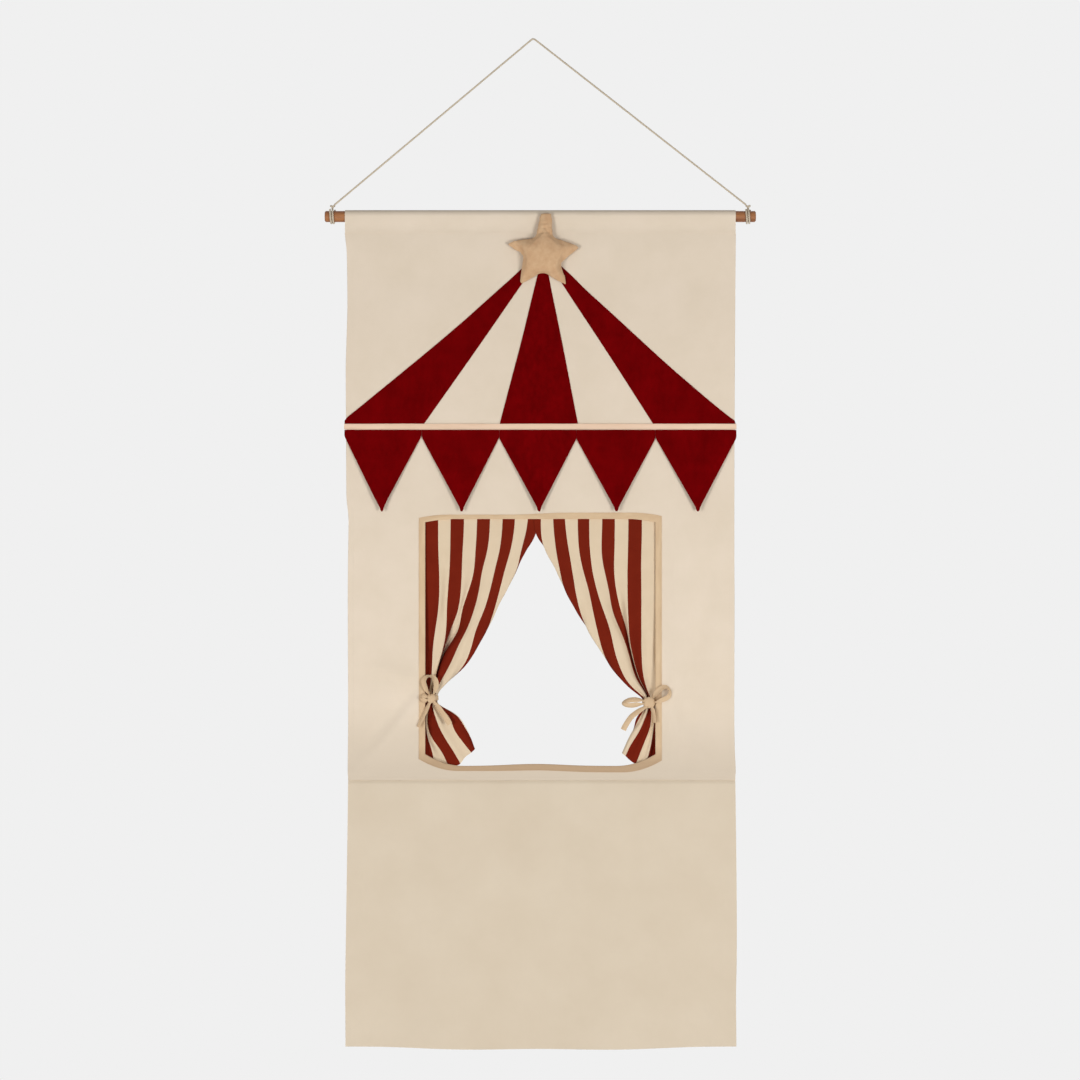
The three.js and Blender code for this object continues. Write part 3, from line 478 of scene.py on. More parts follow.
def sewn(name, grids, thickness, finish, body, stands_for, smooth=40):
    """One cloth from grids of (place in metres, place on the flat cloth in mm)."""
    shape, flat = new_shape()
    for grid in grids:
        skin(shape, flat, [[(shape.verts.new(place), (u / 1000, v / 1000)) for place, (u, v) in row]
                           for row in grid], closed=False)
    bmesh.ops.remove_doubles(shape, verts=shape.verts, dist=0.00005)
    piece = finish_mesh(name, shape, finish, body, stands_for, smooth)
    reworked(piece, "SOLIDIFY", thickness=thickness / 1000, offset=0, use_quality_normals=True)
    smooth_faces(piece, smooth)
    return piece


def spoke(ahead, normal, share):
    """The way out from a line, at a share of a turn round it."""
    angle = 2 * math.pi * share
    return normal * math.cos(angle) + ahead.cross(normal) * math.sin(angle)


def twisted(line, lay=LAY):
    """The shape of strands laid round a line, in metres, as in a twisted cotton cord."""
    shape, flat = new_shape()
    strands = [[] for _ in range(STRANDS)]
    for here, ahead, normal, run in along(line):
        for number, strand in enumerate(strands):
            out = spoke(ahead, normal, run * 1000 / lay + number / STRANDS)
            strand.append(here + out * STRAND_PLACE / 1000)
    for strand in strands:
        rings = []
        for here, ahead, normal, run in along(strand):
            rings.append(closed(
                shape, [here + spoke(ahead, normal, k / STRAND_SIDES) * STRAND_RADIUS / 1000
                        for k in range(STRAND_SIDES)],
                lambda k: (k / STRAND_SIDES * STRAND_GIRTH / 1000, run)))
        skin(shape, flat, rings)
    return shape


def taped(name, node, shape, flat, rings):
    """A piece of bias tape or of its knot, from rings."""
    skin(shape, flat, rings)
    bmesh.ops.recalc_face_normals(shape, faces=shape.faces)
    return finish_mesh(name, shape, BIAS_TAPE, "panel", [node], 60)


# Finishes

def colour(code):
    """A colour from its sRGB hex code, as the linear values that the nodes take."""
    channels = [int(code[k:k + 2], 16) / 255 for k in (1, 3, 5)]
    return [c / 12.92 if c <= 0.04045 else ((c + 0.055) / 1.055) ** 2.4 for c in channels] + [1]


def add_node(tree, kind, inputs=None, output=0, **settings):
    """Adds a node with its settings and links. An input is a value or another node's output."""
    node = tree.nodes.new("ShaderNode" + kind)
    for setting, value in settings.items():
        setattr(node, setting, value)
    for socket, value in (inputs or {}).items():
        if isinstance(value, bpy.types.NodeSocket):
            tree.links.new(value, node.inputs[socket])
        else:
            node.inputs[socket].default_value = value
    return node.outputs[output] if node.outputs else None


def empty_tree(holder):
    holder.use_nodes = True
    holder.node_tree.nodes.clear()
    return holder.node_tree


def new_finish(name, on_flat=True):
    """A new material with its nodes, and the place on the flat cloth or else in the scene."""
    material = bpy.data.materials.new(name)
    tree = empty_tree(material)
    if on_flat:
        return material, tree, add_node(tree, "UVMap", uv_map="flat")
    return material, tree, add_node(tree, "TexCoord", output="Object")


def worn(tree, place, tone, *layers):
    """Lays colours over a tone where noises are high, and returns the tone and the noises. A layer has
    how fast its noise changes each way, its detail and its roughness. One that lays a colour has the
    noise's low and high, the most that is covered and the colour too."""
    noises = []
    for stretch, detail, roughness, *cover in layers:
        noises.append(add_node(tree, "TexNoise", {
            "Vector": add_node(tree, "Mapping", {"Vector": place, "Scale": stretch}),
            "Scale": 1, "Detail": detail, "Roughness": roughness}))
        if cover:
            tone = laid_over(tree, tone, noises[-1], *cover)
    return tone, *noises


def laid_over(tree, tone, height, low, high, most, over, blend="MIX"):
    """Lays a colour over a tone, from none of it where the height is low to the most where it is high."""
    share = add_node(tree, "MapRange", {"Value": height, "From Min": low, "From Max": high, "To Max": most})
    return add_node(tree, "Mix", {0: share, 6: tone, 7: colour(over)}, 2, data_type="RGBA",
                    blend_type=blend)


def weave(tree, flat, pitch):
    """The height of a plain weave, whose threads pass over and under each other, pitch in mm."""
    warp, weft = (add_node(tree, "Math", {
        0: add_node(tree, "TexWave", {"Vector": flat, "Scale": math.pi * 50 / pitch}, "Fac",
                    bands_direction=way),
        1: 0.5}, operation="SUBTRACT") for way in "XY")
    over = add_node(tree, "Math", {0: warp, 1: weft}, operation="MULTIPLY")
    return add_node(tree, "Math", {0: over, 1: 2, 2: 0.5}, operation="MULTIPLY_ADD")


def finished(material, slot, tone, relief, strength, depth, roughness, **sockets):
    """Closes a finish: its tone, its relief from heights and shares of more, in mm, and its surface."""
    tree = material.node_tree
    height, *more = relief
    for part, share in more:
        height = add_node(tree, "Math", {0: part, 1: share, 2: height}, operation="MULTIPLY_ADD")
    bump = add_node(tree, "Bump", {"Strength": strength, "Distance": depth / 1000, "Height": height})
    surface = {"Base Color": tone, "Normal": bump, "Roughness": roughness}
    for socket, value in sockets.items():
        surface[socket.replace("_", " ")] = value
    add_node(tree, "OutputMaterial", {"Surface": add_node(tree, "BsdfPrincipled", surface)})
    return material, slot


def canvas_finish(name, slot, base, shade, light, clouds, foot=None):
    # Cotton canvas: a matt plain weave with slubs, soft creases and slightly uneven bleaching
    material, tree, flat = new_finish(name)
    tone, _, slubs, _, creases = worn(
        tree, flat, colour(shade), ((clouds, clouds, clouds), 4, 0.6, 0.3, 0.7, 1, light),
        ((1500, 60, 1), 2, 0.55, 0.35, 0.75, 0.35, base),
        ((60, 1500, 1), 2, 0.55, 0.66, 0.78, 0.1, shade, "MULTIPLY"), ((34, 34, 34), 3, 0.5))
    # Painted shade: the canvas goes darker from 980 mm down to the waist seam at 1125 mm, for the shade
    # where the cloth curves back above the seam
    if foot:
        down = add_node(tree, "SeparateXYZ", {"Vector": flat}, 1)
        tone = laid_over(tree, tone, down, 0.98, 1.125, 1, foot)
    return finished(material, slot, tone, (weave(tree, flat, 0.6), (slubs, 0.5), (creases, 5)),
                    0.35, 0.3, 0.92, Sheen_Weight=0.08, Sheen_Roughness=0.5)


def velvet_finish(name, slot):
    # Cotton velvet: a deep red pile that goes lighter where the nap is brushed the other way
    material, tree, flat = new_finish(name)
    tone, brushed, rubbed, pile = worn(tree, flat, colour("#610002"), ((26, 15, 1), 4, 0.6),
                                       ((110, 60, 1), 3, 0.6), ((1600, 1600, 1600), 2, 0.55))
    nap = add_node(tree, "Math", {0: brushed, 1: 0.65}, operation="MULTIPLY")
    nap = add_node(tree, "Math", {0: rubbed, 1: 0.35, 2: nap}, operation="MULTIPLY_ADD")
    return finished(material, slot, laid_over(tree, tone, nap, 0.36, 0.64, 1, "#720104"),
                    (pile, (nap, 4)), 0.5, 0.5, 0.9, Sheen_Weight=0.25, Sheen_Roughness=0.35,
                    Sheen_Tint=colour("#A00006"), Specular_IOR_Level=0.02)


def striped_finish(name, slot):
    # Woven striped cotton: rust red and cream bands of 25 mm, dyed in the yarn
    material, tree, flat = new_finish(name)
    clouds = ((24, 24, 24), 3, 0.55, 0, 1, 1)
    cream, _, wander, creases = worn(tree, flat, colour("#D8C2A4"), (*clouds, "#E4D0B4"),
                                     ((900, 30, 1), 1, 0.55), ((60, 22, 1), 3, 0.55))
    red, _ = worn(tree, flat, colour("#6A1808"), (*clouds, "#7C2410"))
    run = add_node(tree, "SeparateXYZ", {"Vector": flat})
    run = add_node(tree, "Math", {0: wander, 1: 0.0006, 2: run}, operation="MULTIPLY_ADD")
    turn = add_node(tree, "Math", {0: run, 1: math.pi / (STRIPE / 1000)}, operation="MULTIPLY")
    wave = add_node(tree, "Math", {0: turn}, operation="SINE")
    band = add_node(tree, "MapRange", {"Value": wave, "From Min": -0.03, "From Max": 0.03})
    tone = add_node(tree, "Mix", {0: band, 6: cream, 7: red}, 2, data_type="RGBA")
    return finished(material, slot, tone, (weave(tree, flat, 0.5), (creases, 4)), 0.3, 0.3, 0.92,
                    Specular_IOR_Level=0.1)


def tape_finish(name, slot, low, high, pitch, painted_sill_shade=None):
    # Cotton bias tape: a close plain weave, creased where it is folded and stitched. Given a third colour,
    # the tape along the window's bottom edge is painted darker: a painted shade for that turned binding
    # lying in shade.
    material, tree, flat = new_finish(name)
    tone, _, puckers = worn(tree, flat, colour(low), ((60, 14, 1), 3, 0.55, 0.3, 0.7, 1, high),
                            ((40, 160, 1), 2, 0.55))
    if painted_sill_shade:
        # Painted shade: darker from 1.395 m down to 1.427 m, where the bottom binding lies
        up = add_node(tree, "SeparateXYZ", {"Vector": add_node(tree, "TexCoord", output="Object")}, 2)
        tone = laid_over(tree, tone, up, -1.395, -1.427, 1, painted_sill_shade)
    bias = add_node(tree, "Mapping", {"Vector": flat, "Rotation": (0, 0, math.radians(45))})
    return finished(material, slot, tone, (weave(tree, bias, pitch), (puckers, 3)), 0.35, 0.3, 0.85,
                    Sheen_Weight=0.1, Sheen_Roughness=0.5)


def velour_finish(name, slot):
    # Cotton velour: a short pale pile, rubbed in patches
    material, tree, place = new_finish(name, on_flat=False)
    tone, rubbed, pile = worn(tree, place, colour("#C59C75"),
                              ((70, 70, 70), 4, 0.6, 0.3, 0.7, 1, "#D4B18A"), ((1500, 1500, 1500), 2, 0.55))
    return finished(material, slot, tone, (pile, (rubbed, 4)), 0.5, 0.5, 0.95, Sheen_Weight=0.3,
                    Sheen_Roughness=0.5, Sheen_Tint=colour("#F4DFC0"))


def cord_finish(name, slot):
    # Undyed cotton cord: fine fibres that run along each strand, a little grey from dust
    material, tree, flat = new_finish(name)
    tone, fibres, _ = worn(tree, flat, colour("#BFAF97"), ((9000, 700, 1), 3, 0.55, 0, 1, 1, "#E6D8C0"),
                           ((40, 40, 40), 2, 0.55, 0.4, 0.8, 0.3, "#B8AFA0"))
    return finished(material, slot, tone, (fibres,), 0.5, 0.2, 0.95, Sheen_Weight=0.2, Sheen_Roughness=0.5)


def wood_finish(name, slot):
    # Pale hardwood dowel under a thin amber oil: long grain with darker pores
    material, tree, place = new_finish(name, on_flat=False)
    tone, _, pores = worn(tree, place, colour("#7A4422"), ((4, 90, 90), 5, 0.6, 0.3, 0.7, 1, "#B87A45"),
                          ((25, 900, 900), 2, 0.55, 0.58, 0.72, 0.55, "#5A2F16"))
    return finished(material, slot, tone, (pores,), 0.3, 0.2, 0.5, Coat_Weight=0.12, Coat_Roughness=0.35)


# The upper canvas's last colour is a painted shade towards the waist seam
UPPER_CANVAS = canvas_finish("cotton_canvas", "upper_canvas", "#E3D3BE", "#DFCFB9", "#E6D6C2", 9, "#D0C1AD")
LOWER_CANVAS = canvas_finish("washed_canvas", "lower_canvas", "#D5C6B0", "#D2C2AB", "#D8C9B3", 7)
VELVET = velvet_finish("red_velvet", "red_velvet")
STRIPED = striped_finish("striped_cotton", "striped_cotton")
# The bias tape's last colour is a painted shade along the window's bottom binding
BIAS_TAPE = tape_finish("bias_tape", "bias_tape", "#CDAE8A", "#DBBF9A", 0.5, "#B99C7C")
RIBBON = tape_finish("ribbon_tape", "ribbon_tape", "#E6C5A8", "#F0D1B7", 0.4)
VELOUR = velour_finish("star_velour", "star_velour")
COTTON_CORD = cord_finish("cotton_cord", "cotton_cord")
WOOD = wood_finish("oiled_dowel", "rod_wood")

# Camera: straight in front of the theatre and far off, as the photograph was taken

camera_data = bpy.data.cameras.new("camera")
camera_data.lens = 100
camera_data.sensor_width = 36
camera = bpy.data.objects.new("camera", camera_data)
camera.location = (0.0134, -5.92, -0.9883)
camera.rotation_euler = (math.radians(90), 0, 0)
bpy.context.scene.collection.objects.link(camera)
bpy.context.scene.camera = camera


# Hanging cord, its turns round the rod and its knots

def hang_cord():
    line = curve_through([metres(*p) for p in CORD_ROUTE], 640)
    cord = finish_mesh("twisted_cord", twisted(line), COTTON_CORD, "hanger", ["hanging_cord"], 60)
    for side, x in KNOT_PLACES.items():
        for name, node, shape in (("cord_turns_", "cord_winding_", wound(x)),
                                  ("cord_tie_", "cord_knot_", knotted(x))):
            finish_mesh(name + side, shape, COTTON_CORD, "hanger", [node + side], 60)
    tuple(metres(*CORD_ROUTE[0]))
    [tuple(p) for p in line]


def wound(x):
    """The cord's turns round the rod, with a tail at each end."""
    sweep = 4 * math.pi - 2 * WINDING_START
    helix = []
    for k in range(97):
        angle = WINDING_START + sweep * k / 96
        helix.append(metres(x + WINDING_PITCH * (angle / (2 * math.pi) - 1),
                            -WINDING_RADIUS * math.sin(angle),
                            WINDING_RADIUS * math.cos(angle) - ROD_DROP))
    start, end = (tip + (tip - inner).normalized() * WINDING_TAIL / 1000
                  for tip, inner in (helix[:2], helix[:-3:-1]))
    return twisted(even([start, *helix, end], 150))


def knotted(x):
    """An overhand knot pulled tight over the turns."""
    line = []
    for k in range(97):
        angle = 2 * math.pi * (k % 96) / 96
        line.append(metres(x + 2.2 * (math.sin(angle) + 0.72 * math.sin(2 * angle)),
                           1.8 * math.sin(3 * angle),
                           KNOT_HEIGHT + 2.1 * (math.cos(angle) - 0.72 * math.cos(2 * angle))))
    return twisted(line, KNOT_LAY)


hang_cord()


# How the cloth hangs

def fold_at(x, drop):
    height = 0
    for (start_x, start_drop), (end_x, end_drop), half_width, rise in FOLDS:
        run = Vector((end_x - start_x, end_drop - start_drop))
        from_start = Vector((x - start_x, drop - start_drop))
        share = from_start.dot(run) / run.length_squared
        aside = (from_start.x * run.y - from_start.y * run.x) / run.length
        height += rise * ease(share, -0.3, 0.2) * (1 - ease(share, 0.75, 1.3)) * hump(aside, 0, half_width)
    return height


def billow(x, drop):
    """How far the hung cloth lies behind its flat plane, for the canvas and all that is sewn to it."""
    waves = 1.6 * noise_at(x / 230, drop / 560, 2.3) + 0.6 * noise_at(x / 85, drop / 330, 7.1)
    start, full, flat = BELLY
    belly = -3.6 * ease(drop, start, full) * (1 - ease(drop, full, flat)) - 0.6 * ease(drop, full, flat)
    pocket_front = -POCKET_LEAN * (1 - ease(drop, POCKET_DROP, 150))
    return (ease(drop, POCKET_DROP, 190) * waves + fold_at(x, drop) + belly * (1 - ease(drop, flat, 1180))
            + pocket_front)


def half_width_at(drop):
    if drop < WAIST_DROP:
        share = max(0, (drop - POCKET_DROP) / (WAIST_DROP - POCKET_DROP))
        return lerp(PANEL_WIDTH, WAIST_WIDTH, share) / 2
    return lerp(WAIST_WIDTH, HEM_WIDTH, (drop - WAIST_DROP) / (HEM_DROP - WAIST_DROP)) / 2


def cloth_place(x, y, drop):
    """A place on the hung cloth, whose side edges wander a little as it hangs."""
    wander = smooth_between(WANDERS[x > 0], drop) * ease(abs(x), 250, 370)
    return on_panel(x + wander, y + billow(x, drop), drop)


def upper_place(x, y, drop):
    """The upper cloth stands a little proud where it laps over the lower one, and its edge rolls back."""
    roll = min(1, max(0, drop - ROLL_START) / ROLL_LENGTH)
    rolled = CANVAS * (1 - math.sqrt(1 - roll * roll))
    return cloth_place(x, y - 2.7 * ease(drop, *LAP_RISE) + rolled, drop)


def with_run(profile):
    """Each point of a profile with the length so far."""
    run = 0
    for before, here in zip([profile[0], *profile], profile):
        run += math.dist(before, here)
        yield *here, run


# The pocket, folded over the rod and stitched under it

def make_pocket():
    axis = ROD_RADIUS + POCKET_PLAY + CANVAS
    radius = axis - CANVAS / 2
    foot = POCKET_DROP - 1
    front = [(-CANVAS / 2, POCKET_DROP)]
    for k in range(1, 15):
        drop = lerp(foot, axis, k / 14)
        front.append((-CANVAS / 2 - (radius - CANVAS / 2) * ease(foot - drop, 0, foot - axis + 3), drop))
    profile = front + [(-radius * math.cos(math.pi * k / 20), axis - radius * math.sin(math.pi * k / 20))
                       for k in range(1, 21)] + [(-y, drop) for y, drop in front[-2::-1]]
    rows = []
    for y, drop, run in with_run(profile):
        row = []
        for x in steps_to(-PANEL_WIDTH / 2, PANEL_WIDTH / 2, COLUMN):
            pull = 0.25 * noise_at(x / 40, run / 30, 1.4)
            forward = POCKET_LEAN * ease(drop, axis, POCKET_DROP)
            row.append((on_panel(x, y * (1 + 0.02 * pull) + 0.3 * pull - forward, drop), (x, run)))
        rows.append(row)
    pocket = sewn("pocket_cloth", [rows], CANVAS, UPPER_CANVAS, "panel", ["rod_pocket"])


# The window's edge, moved outwards by an offset, as (x, drop)

def shoulder_drop(x, half, rise, length):
    return rise * min(1, max(0, (abs(x) - (half - length)) / length)) ** 2


def window_head(x, offset=0.0):
    level = WINDOW_TOP - HEAD_LIFT - offset * (0.68 + 0.32 * ease(x, -60, 60))
    return level + shoulder_drop(x, WINDOW_HALF + offset, HEAD_RISE, HEAD_SHOULDER)


def window_sill(x, offset=0.0):
    level = WINDOW_TOP + WINDOW_HEIGHT + SILL_SLACK + offset * (0.78 + 0.22 * ease(x, -150, -20))
    return (level - shoulder_drop(x, WINDOW_HALF + offset, SILL_SAG + SILL_SLACK, SILL_SHOULDER)
            - 4 * hump(x, -10, 75))


def window_line(side, offset):
    half = WINDOW_HALF + offset
    if side in ("left", "right"):
        x = -half if side == "left" else half
        return [(x, lerp(window_head(x, offset), window_sill(x, offset), k / 78)) for k in range(79)]
    edge = window_head if side == "top" else window_sill
    return [(x, edge(x, offset)) for x in (lerp(-half, half, k / 76) for k in range(77))]


def make_upper_panel():
    gap = WINDOW_GAP
    half = WINDOW_HALF + gap
    shares = steps_to(0, 1, 1 / 22)

    def row_at(drop_at):
        """A row from one side edge of the panel to the other, above or below the window."""
        side = [lerp(half_width_at(drop_at(half)), half, share) for share in shares]
        across = [-x for x in side] + steps_to(-half, half, COLUMN)[1:-1] + side[::-1]
        return [(upper_place(x, 0, drop_at(x)), (x, drop_at(x))) for x in across]

    def band(upper, lower, downs):
        return [row_at(lambda x: lerp(upper(x), lower(x), down)) for down in downs]

    head = band(lambda x: POCKET_DROP, lambda x: window_head(x, gap), steps_to(0, 1, 1 / 74))
    foot = band(lambda x: window_sill(x, gap),
                lambda x: WAIST_DROP - 1.4 - 1.6 * noise_at(x / 95, 0.5, 6.4),
                (0, 0.15, 0.3, 0.45, 0.6, 0.7, 0.78, 0.84, 0.87, 0.9, 0.93, 0.96, 0.98, 1))
    flanks, hems = [], []
    for sign in (-1, 1):
        flank, hem = [], []
        for drop in steps_to(window_head(sign * half, gap), window_sill(sign * half, gap), 7.5):
            places = [sign * lerp(half_width_at(drop), half, share) for share in shares][::-sign]
            flank.append([(cloth_place(x, 0, drop), (x, drop)) for x in places])
        for drop in steps_to(POCKET_DROP, WAIST_DROP - WAIST_LAP - 0.5, 8):
            edge = half_width_at(drop)
            hem.append([(upper_place(sign * (edge - inset), y, drop), (sign * (edge + inset), drop))
                        for inset, y in SIDE_FOLD][::sign])
        flanks.append(flank)
        hems.append(hem)
    return sewn("canvas_panel", [head, foot, *flanks, *hems], CANVAS, UPPER_CANVAS, "panel",
                ["upper_panel"])


def make_waist_strip():
    rows = []
    for drop in steps_to(WAIST_DROP - WAIST_LAP, WAIST_DROP + CANVAS / 2 + 0.12, 2):
        edge = half_width_at(drop)
        rows.append([(cloth_place(x, CANVAS, drop), (x, drop)) for x in steps_to(-edge, edge, COLUMN)])
    strip = sewn("lower_cloth_lap", [rows], CANVAS, LOWER_CANVAS, "panel", ["waist_seam_strip"])


def make_lower_panel():
    top = WAIST_DROP + CANVAS / 2 + 0.15

    def row_at(share, behind=0):
        edge = lerp(WAIST_WIDTH, HEM_WIDTH, share) / 2
        row = []
        for k in range(113):
            across = k / 112
            x = lerp(-edge, edge, across)
            drop = lerp(top, HEM_DROP + HEM_SAG * math.sin(math.pi * across), share)
            fold = 6.8 * share ** 2 * math.sin(5 * math.pi * across)
            forward = 3.2 * ease(drop - top, -2, 7) * (1 - ease(drop - top, 16, 110))
            row.append((cloth_place(x, CANVAS + fold - forward + behind, drop), (x, drop)))
        return row

    hem = 1 - BOTTOM_HEM / (HEM_DROP - WAIST_DROP)
    bend = [k / 450 for k in range(12)]
    rows = [row_at(share)
            for share in bend + steps_to(12 / 450, hem, 1 / 68) + steps_to(hem, 1, 1 / 68)[1:]]
    turned = [row_at(1), row_at(0.9995, 0.9), row_at(0.998, CANVAS + 0.1),
              row_at((1 + hem) / 2, CANVAS + 0.1), row_at(hem, CANVAS)]
    lower = sewn("loose_lower_cloth", [rows, turned], CANVAS, LOWER_CANVAS, None, ["lower_panel"])
    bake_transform(lower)


# Sewing thread

def thread_rows(name, rows, finish, step=3.6):
    """Small stitches end to end along rows of points on the cloth's face, in metres."""
    shape, flat = new_shape()
    out = Vector((0, -STITCH_HEIGHT / 1000, 0))
    for line in rows:
        places = even(line, round(sum((b - a).length for a, b in zip(line, line[1:])) * 1000 / step))
        for here, after in zip(places, places[1:]):
            ahead = (after - here) * 0.35
            middle = (here + after) / 2
            side = ahead.cross(Vector((0, -1, 0))).normalized() * STITCH_HALF / 1000
            ends = [shape.verts.new(middle + way - out * 0.6) for way in (-ahead, ahead)]
            ring = [shape.verts.new(middle + way) for way in (out, side, -out, -side)]
            for k in range(4):
                for end in ends:
                    for loop in shape.faces.new([end, ring[k - 1], ring[k]]).loops:
                        loop[flat].uv = (loop.vert.co.x, -loop.vert.co.z)
    bmesh.ops.recalc_face_normals(shape, faces=shape.faces)
    finish_mesh(name, shape, finish, "panel", (), 180)


def sew_panel():
    rows = []
    for sign in (-1, 1):
        rows.append([upper_place(sign * (half_width_at(drop) - SIDE_HEM + 2), CANVAS_FACE, drop)
                     for drop in steps_to(50, 1117, 6)])
    for drop in (POCKET_DROP + 2, WAIST_DROP - 6):
        edge = half_width_at(drop) - 1
        rows.append([upper_place(x, CANVAS_FACE, drop) for x in steps_to(-edge, edge, 6)])
    thread_rows("panel_stitches", rows, UPPER_CANVAS)
    thread_rows("bound_edge_stitches", [
        [upper_place(x, BINDING_FACE, drop) for x, drop in window_line(side, BINDING_WIDTH - 1.6)]
        for side in WINDOW_SIDES], BIAS_TAPE, 3)
    edge = ROOF_WIDTH / 2 - 1.5
    thread_rows("ribbon_stitches", [
        [cloth_place(x, RIBBON_FACE, ROOF_DROP + down) for x in steps_to(-edge, edge, 6)]
        for down in (1.6, RIBBON_HEIGHT - 1.6)], RIBBON, 3)


# Roof

def make_wedge(name):
    left_edge, right_edge = WEDGE_EDGES[name]
    rows = []
    for drop in steps_to(left_edge[0][0], left_edge[-1][0], 5):
        left, right = smooth_between(left_edge, drop), smooth_between(right_edge, drop)
        row = []
        for share in [0, 0.012, *steps_to(0.04, 0.96, 0.92 / 14), 0.988, 1]:
            x = lerp(left, right, share)
            from_edge = 0.8 * min(share, 1 - share) * (right - left)
            press = 0.45 * hump(from_edge, 0, 1.2) + 0.2 * hump(from_edge, 3, 1.2)
            puff = 0.12 * noise_at(x / 30, drop / 30, 5)
            row.append((cloth_place(x, -1.35 + press + puff, drop), (x, drop)))
        rows.append(row)
    wedge = sewn("velvet_wedge_" + name, [rows], VELVET_THICKNESS, VELVET, "panel", ["roof_wedge_" + name])
    long = math.dist(left_edge[0], right_edge[-1]) / 1000


def make_ribbon():
    rows = []
    for drop in steps_to(ROOF_DROP, ROOF_DROP + RIBBON_HEIGHT, 1.4):
        share = (drop - ROOF_DROP) / RIBBON_HEIGHT
        press = 0.25 * (hump(share, 0.12, 0.06) + hump(share, 0.88, 0.06))
        row = []
        for x in steps_to(-ROOF_WIDTH / 2, ROOF_WIDTH / 2, 4):
            wave = 0.4 * noise_at(x / 60, 3.3, 0) - 0.5
            pucker = 0.12 * noise_at(x / 9, drop / 9, 0)
            row.append((cloth_place(x, -2.6 + press + pucker, drop + wave), (drop, x)))
        rows.append(row)
    ribbon = sewn("ribbon", [rows], FOLDED_TAPE, RIBBON, "panel", ["roof_ribbon"])


def make_pennant(number):
    left, right = PENNANT_ENDS[number - 1:number + 1]
    half = (right - left - 0.5) / 2
    top = ROOF_DROP + RIBBON_HEIGHT + 0.6
    tip = ROOF_DROP + RIBBON_HEIGHT + PENNANT_DROP
    shoulder = ROOF_DROP + RIBBON_HEIGHT + PENNANT_SIDES[number - 1]

    def half_at(drop):
        """Half its width: even above its shoulder, then narrowing down to a rounded tip."""
        if drop < shoulder + 4:
            return half * (1 - 4 / (tip - shoulder) * (max(0, drop - shoulder + 4) / 8) ** 2)
        below = tip - drop
        if below < PENNANT_TIP:
            below = PENNANT_TIP * math.sqrt(max(0, 1 - (1 - below / PENNANT_TIP) ** 2))
        return half * below / (tip - shoulder)

    rows = []
    for drop in steps_to(top, tip - 8, 3) + [tip - up for up in (6, 4.5, 3, 1.8, 0.8, 0.25, 0.02)]:
        share = (drop - top) / (tip - top)
        row = []
        for side in [-1, -0.985, *steps_to(-0.95, 0.95, 1.9 / 18), 0.985, 1]:
            x = (left + right) / 2 + PENNANT_TIPS[number - 1] * share + side * half_at(drop)
            lift = PENNANT_LIFT * share ** 1.4 + share * noise_at(x / 45, drop / 60, number * 3.7)
            crown = 0.5 * (1 - side * side) * ease(share, 0, 0.3)
            press = 0.175 * hump((1 - abs(side)) * half_at(drop), 0, 1.5)
            row.append((cloth_place(x, -2 - max(0, lift) - crown + press, drop), (x, drop)))
        rows.append(row)
    name = "pennant_" + str(number)
    pennant = sewn("velvet_" + name, [rows], PENNANT_THICKNESS, VELVET, name, [name])


# Star

def star_outline():
    corners = [Vector((x - STAR_PLACE.x, STAR_PLACE.z - drop)) for x, drop in reversed(STAR_CORNERS)]
    outline = []
    for before, corner, after in zip(corners[-1:] + corners, corners, corners[1:] + corners[:1]):
        reach = min(6, (corner - before).length / 2, (after - corner).length / 2)
        start, end = (corner + (other - corner).normalized() * reach for other in (before, after))
        for step in range(4):
            t = step / 3
            outline.append(start * (1 - t) ** 2 + corner * 2 * t * (1 - t) + end * t * t)
    return outline


def stuff(star):
    """Blows the flat star up with a cloth simulation, which is fixed and always gives the same star."""
    cloth = star.modifiers.new("stuffing", "CLOTH")
    for setting, value in {
            "quality": 6, "mass": 0.15, "tension_stiffness": 12, "compression_stiffness": 12,
            "shear_stiffness": 5, "bending_stiffness": 0.2, "use_pressure": True,
            "uniform_pressure_force": 5}.items():
        setattr(cloth.settings, setting, value)
    cloth.settings.effector_weights.gravity = 0
    cloth.collision_settings.use_self_collision = False
    cloth.point_cache.frame_end = 30
    for number in range(1, STUFFING_FRAMES + 1):
        bpy.context.scene.frame_set(number)
    bpy.ops.object.modifier_apply(modifier="stuffing")
    bpy.context.scene.frame_set(1)


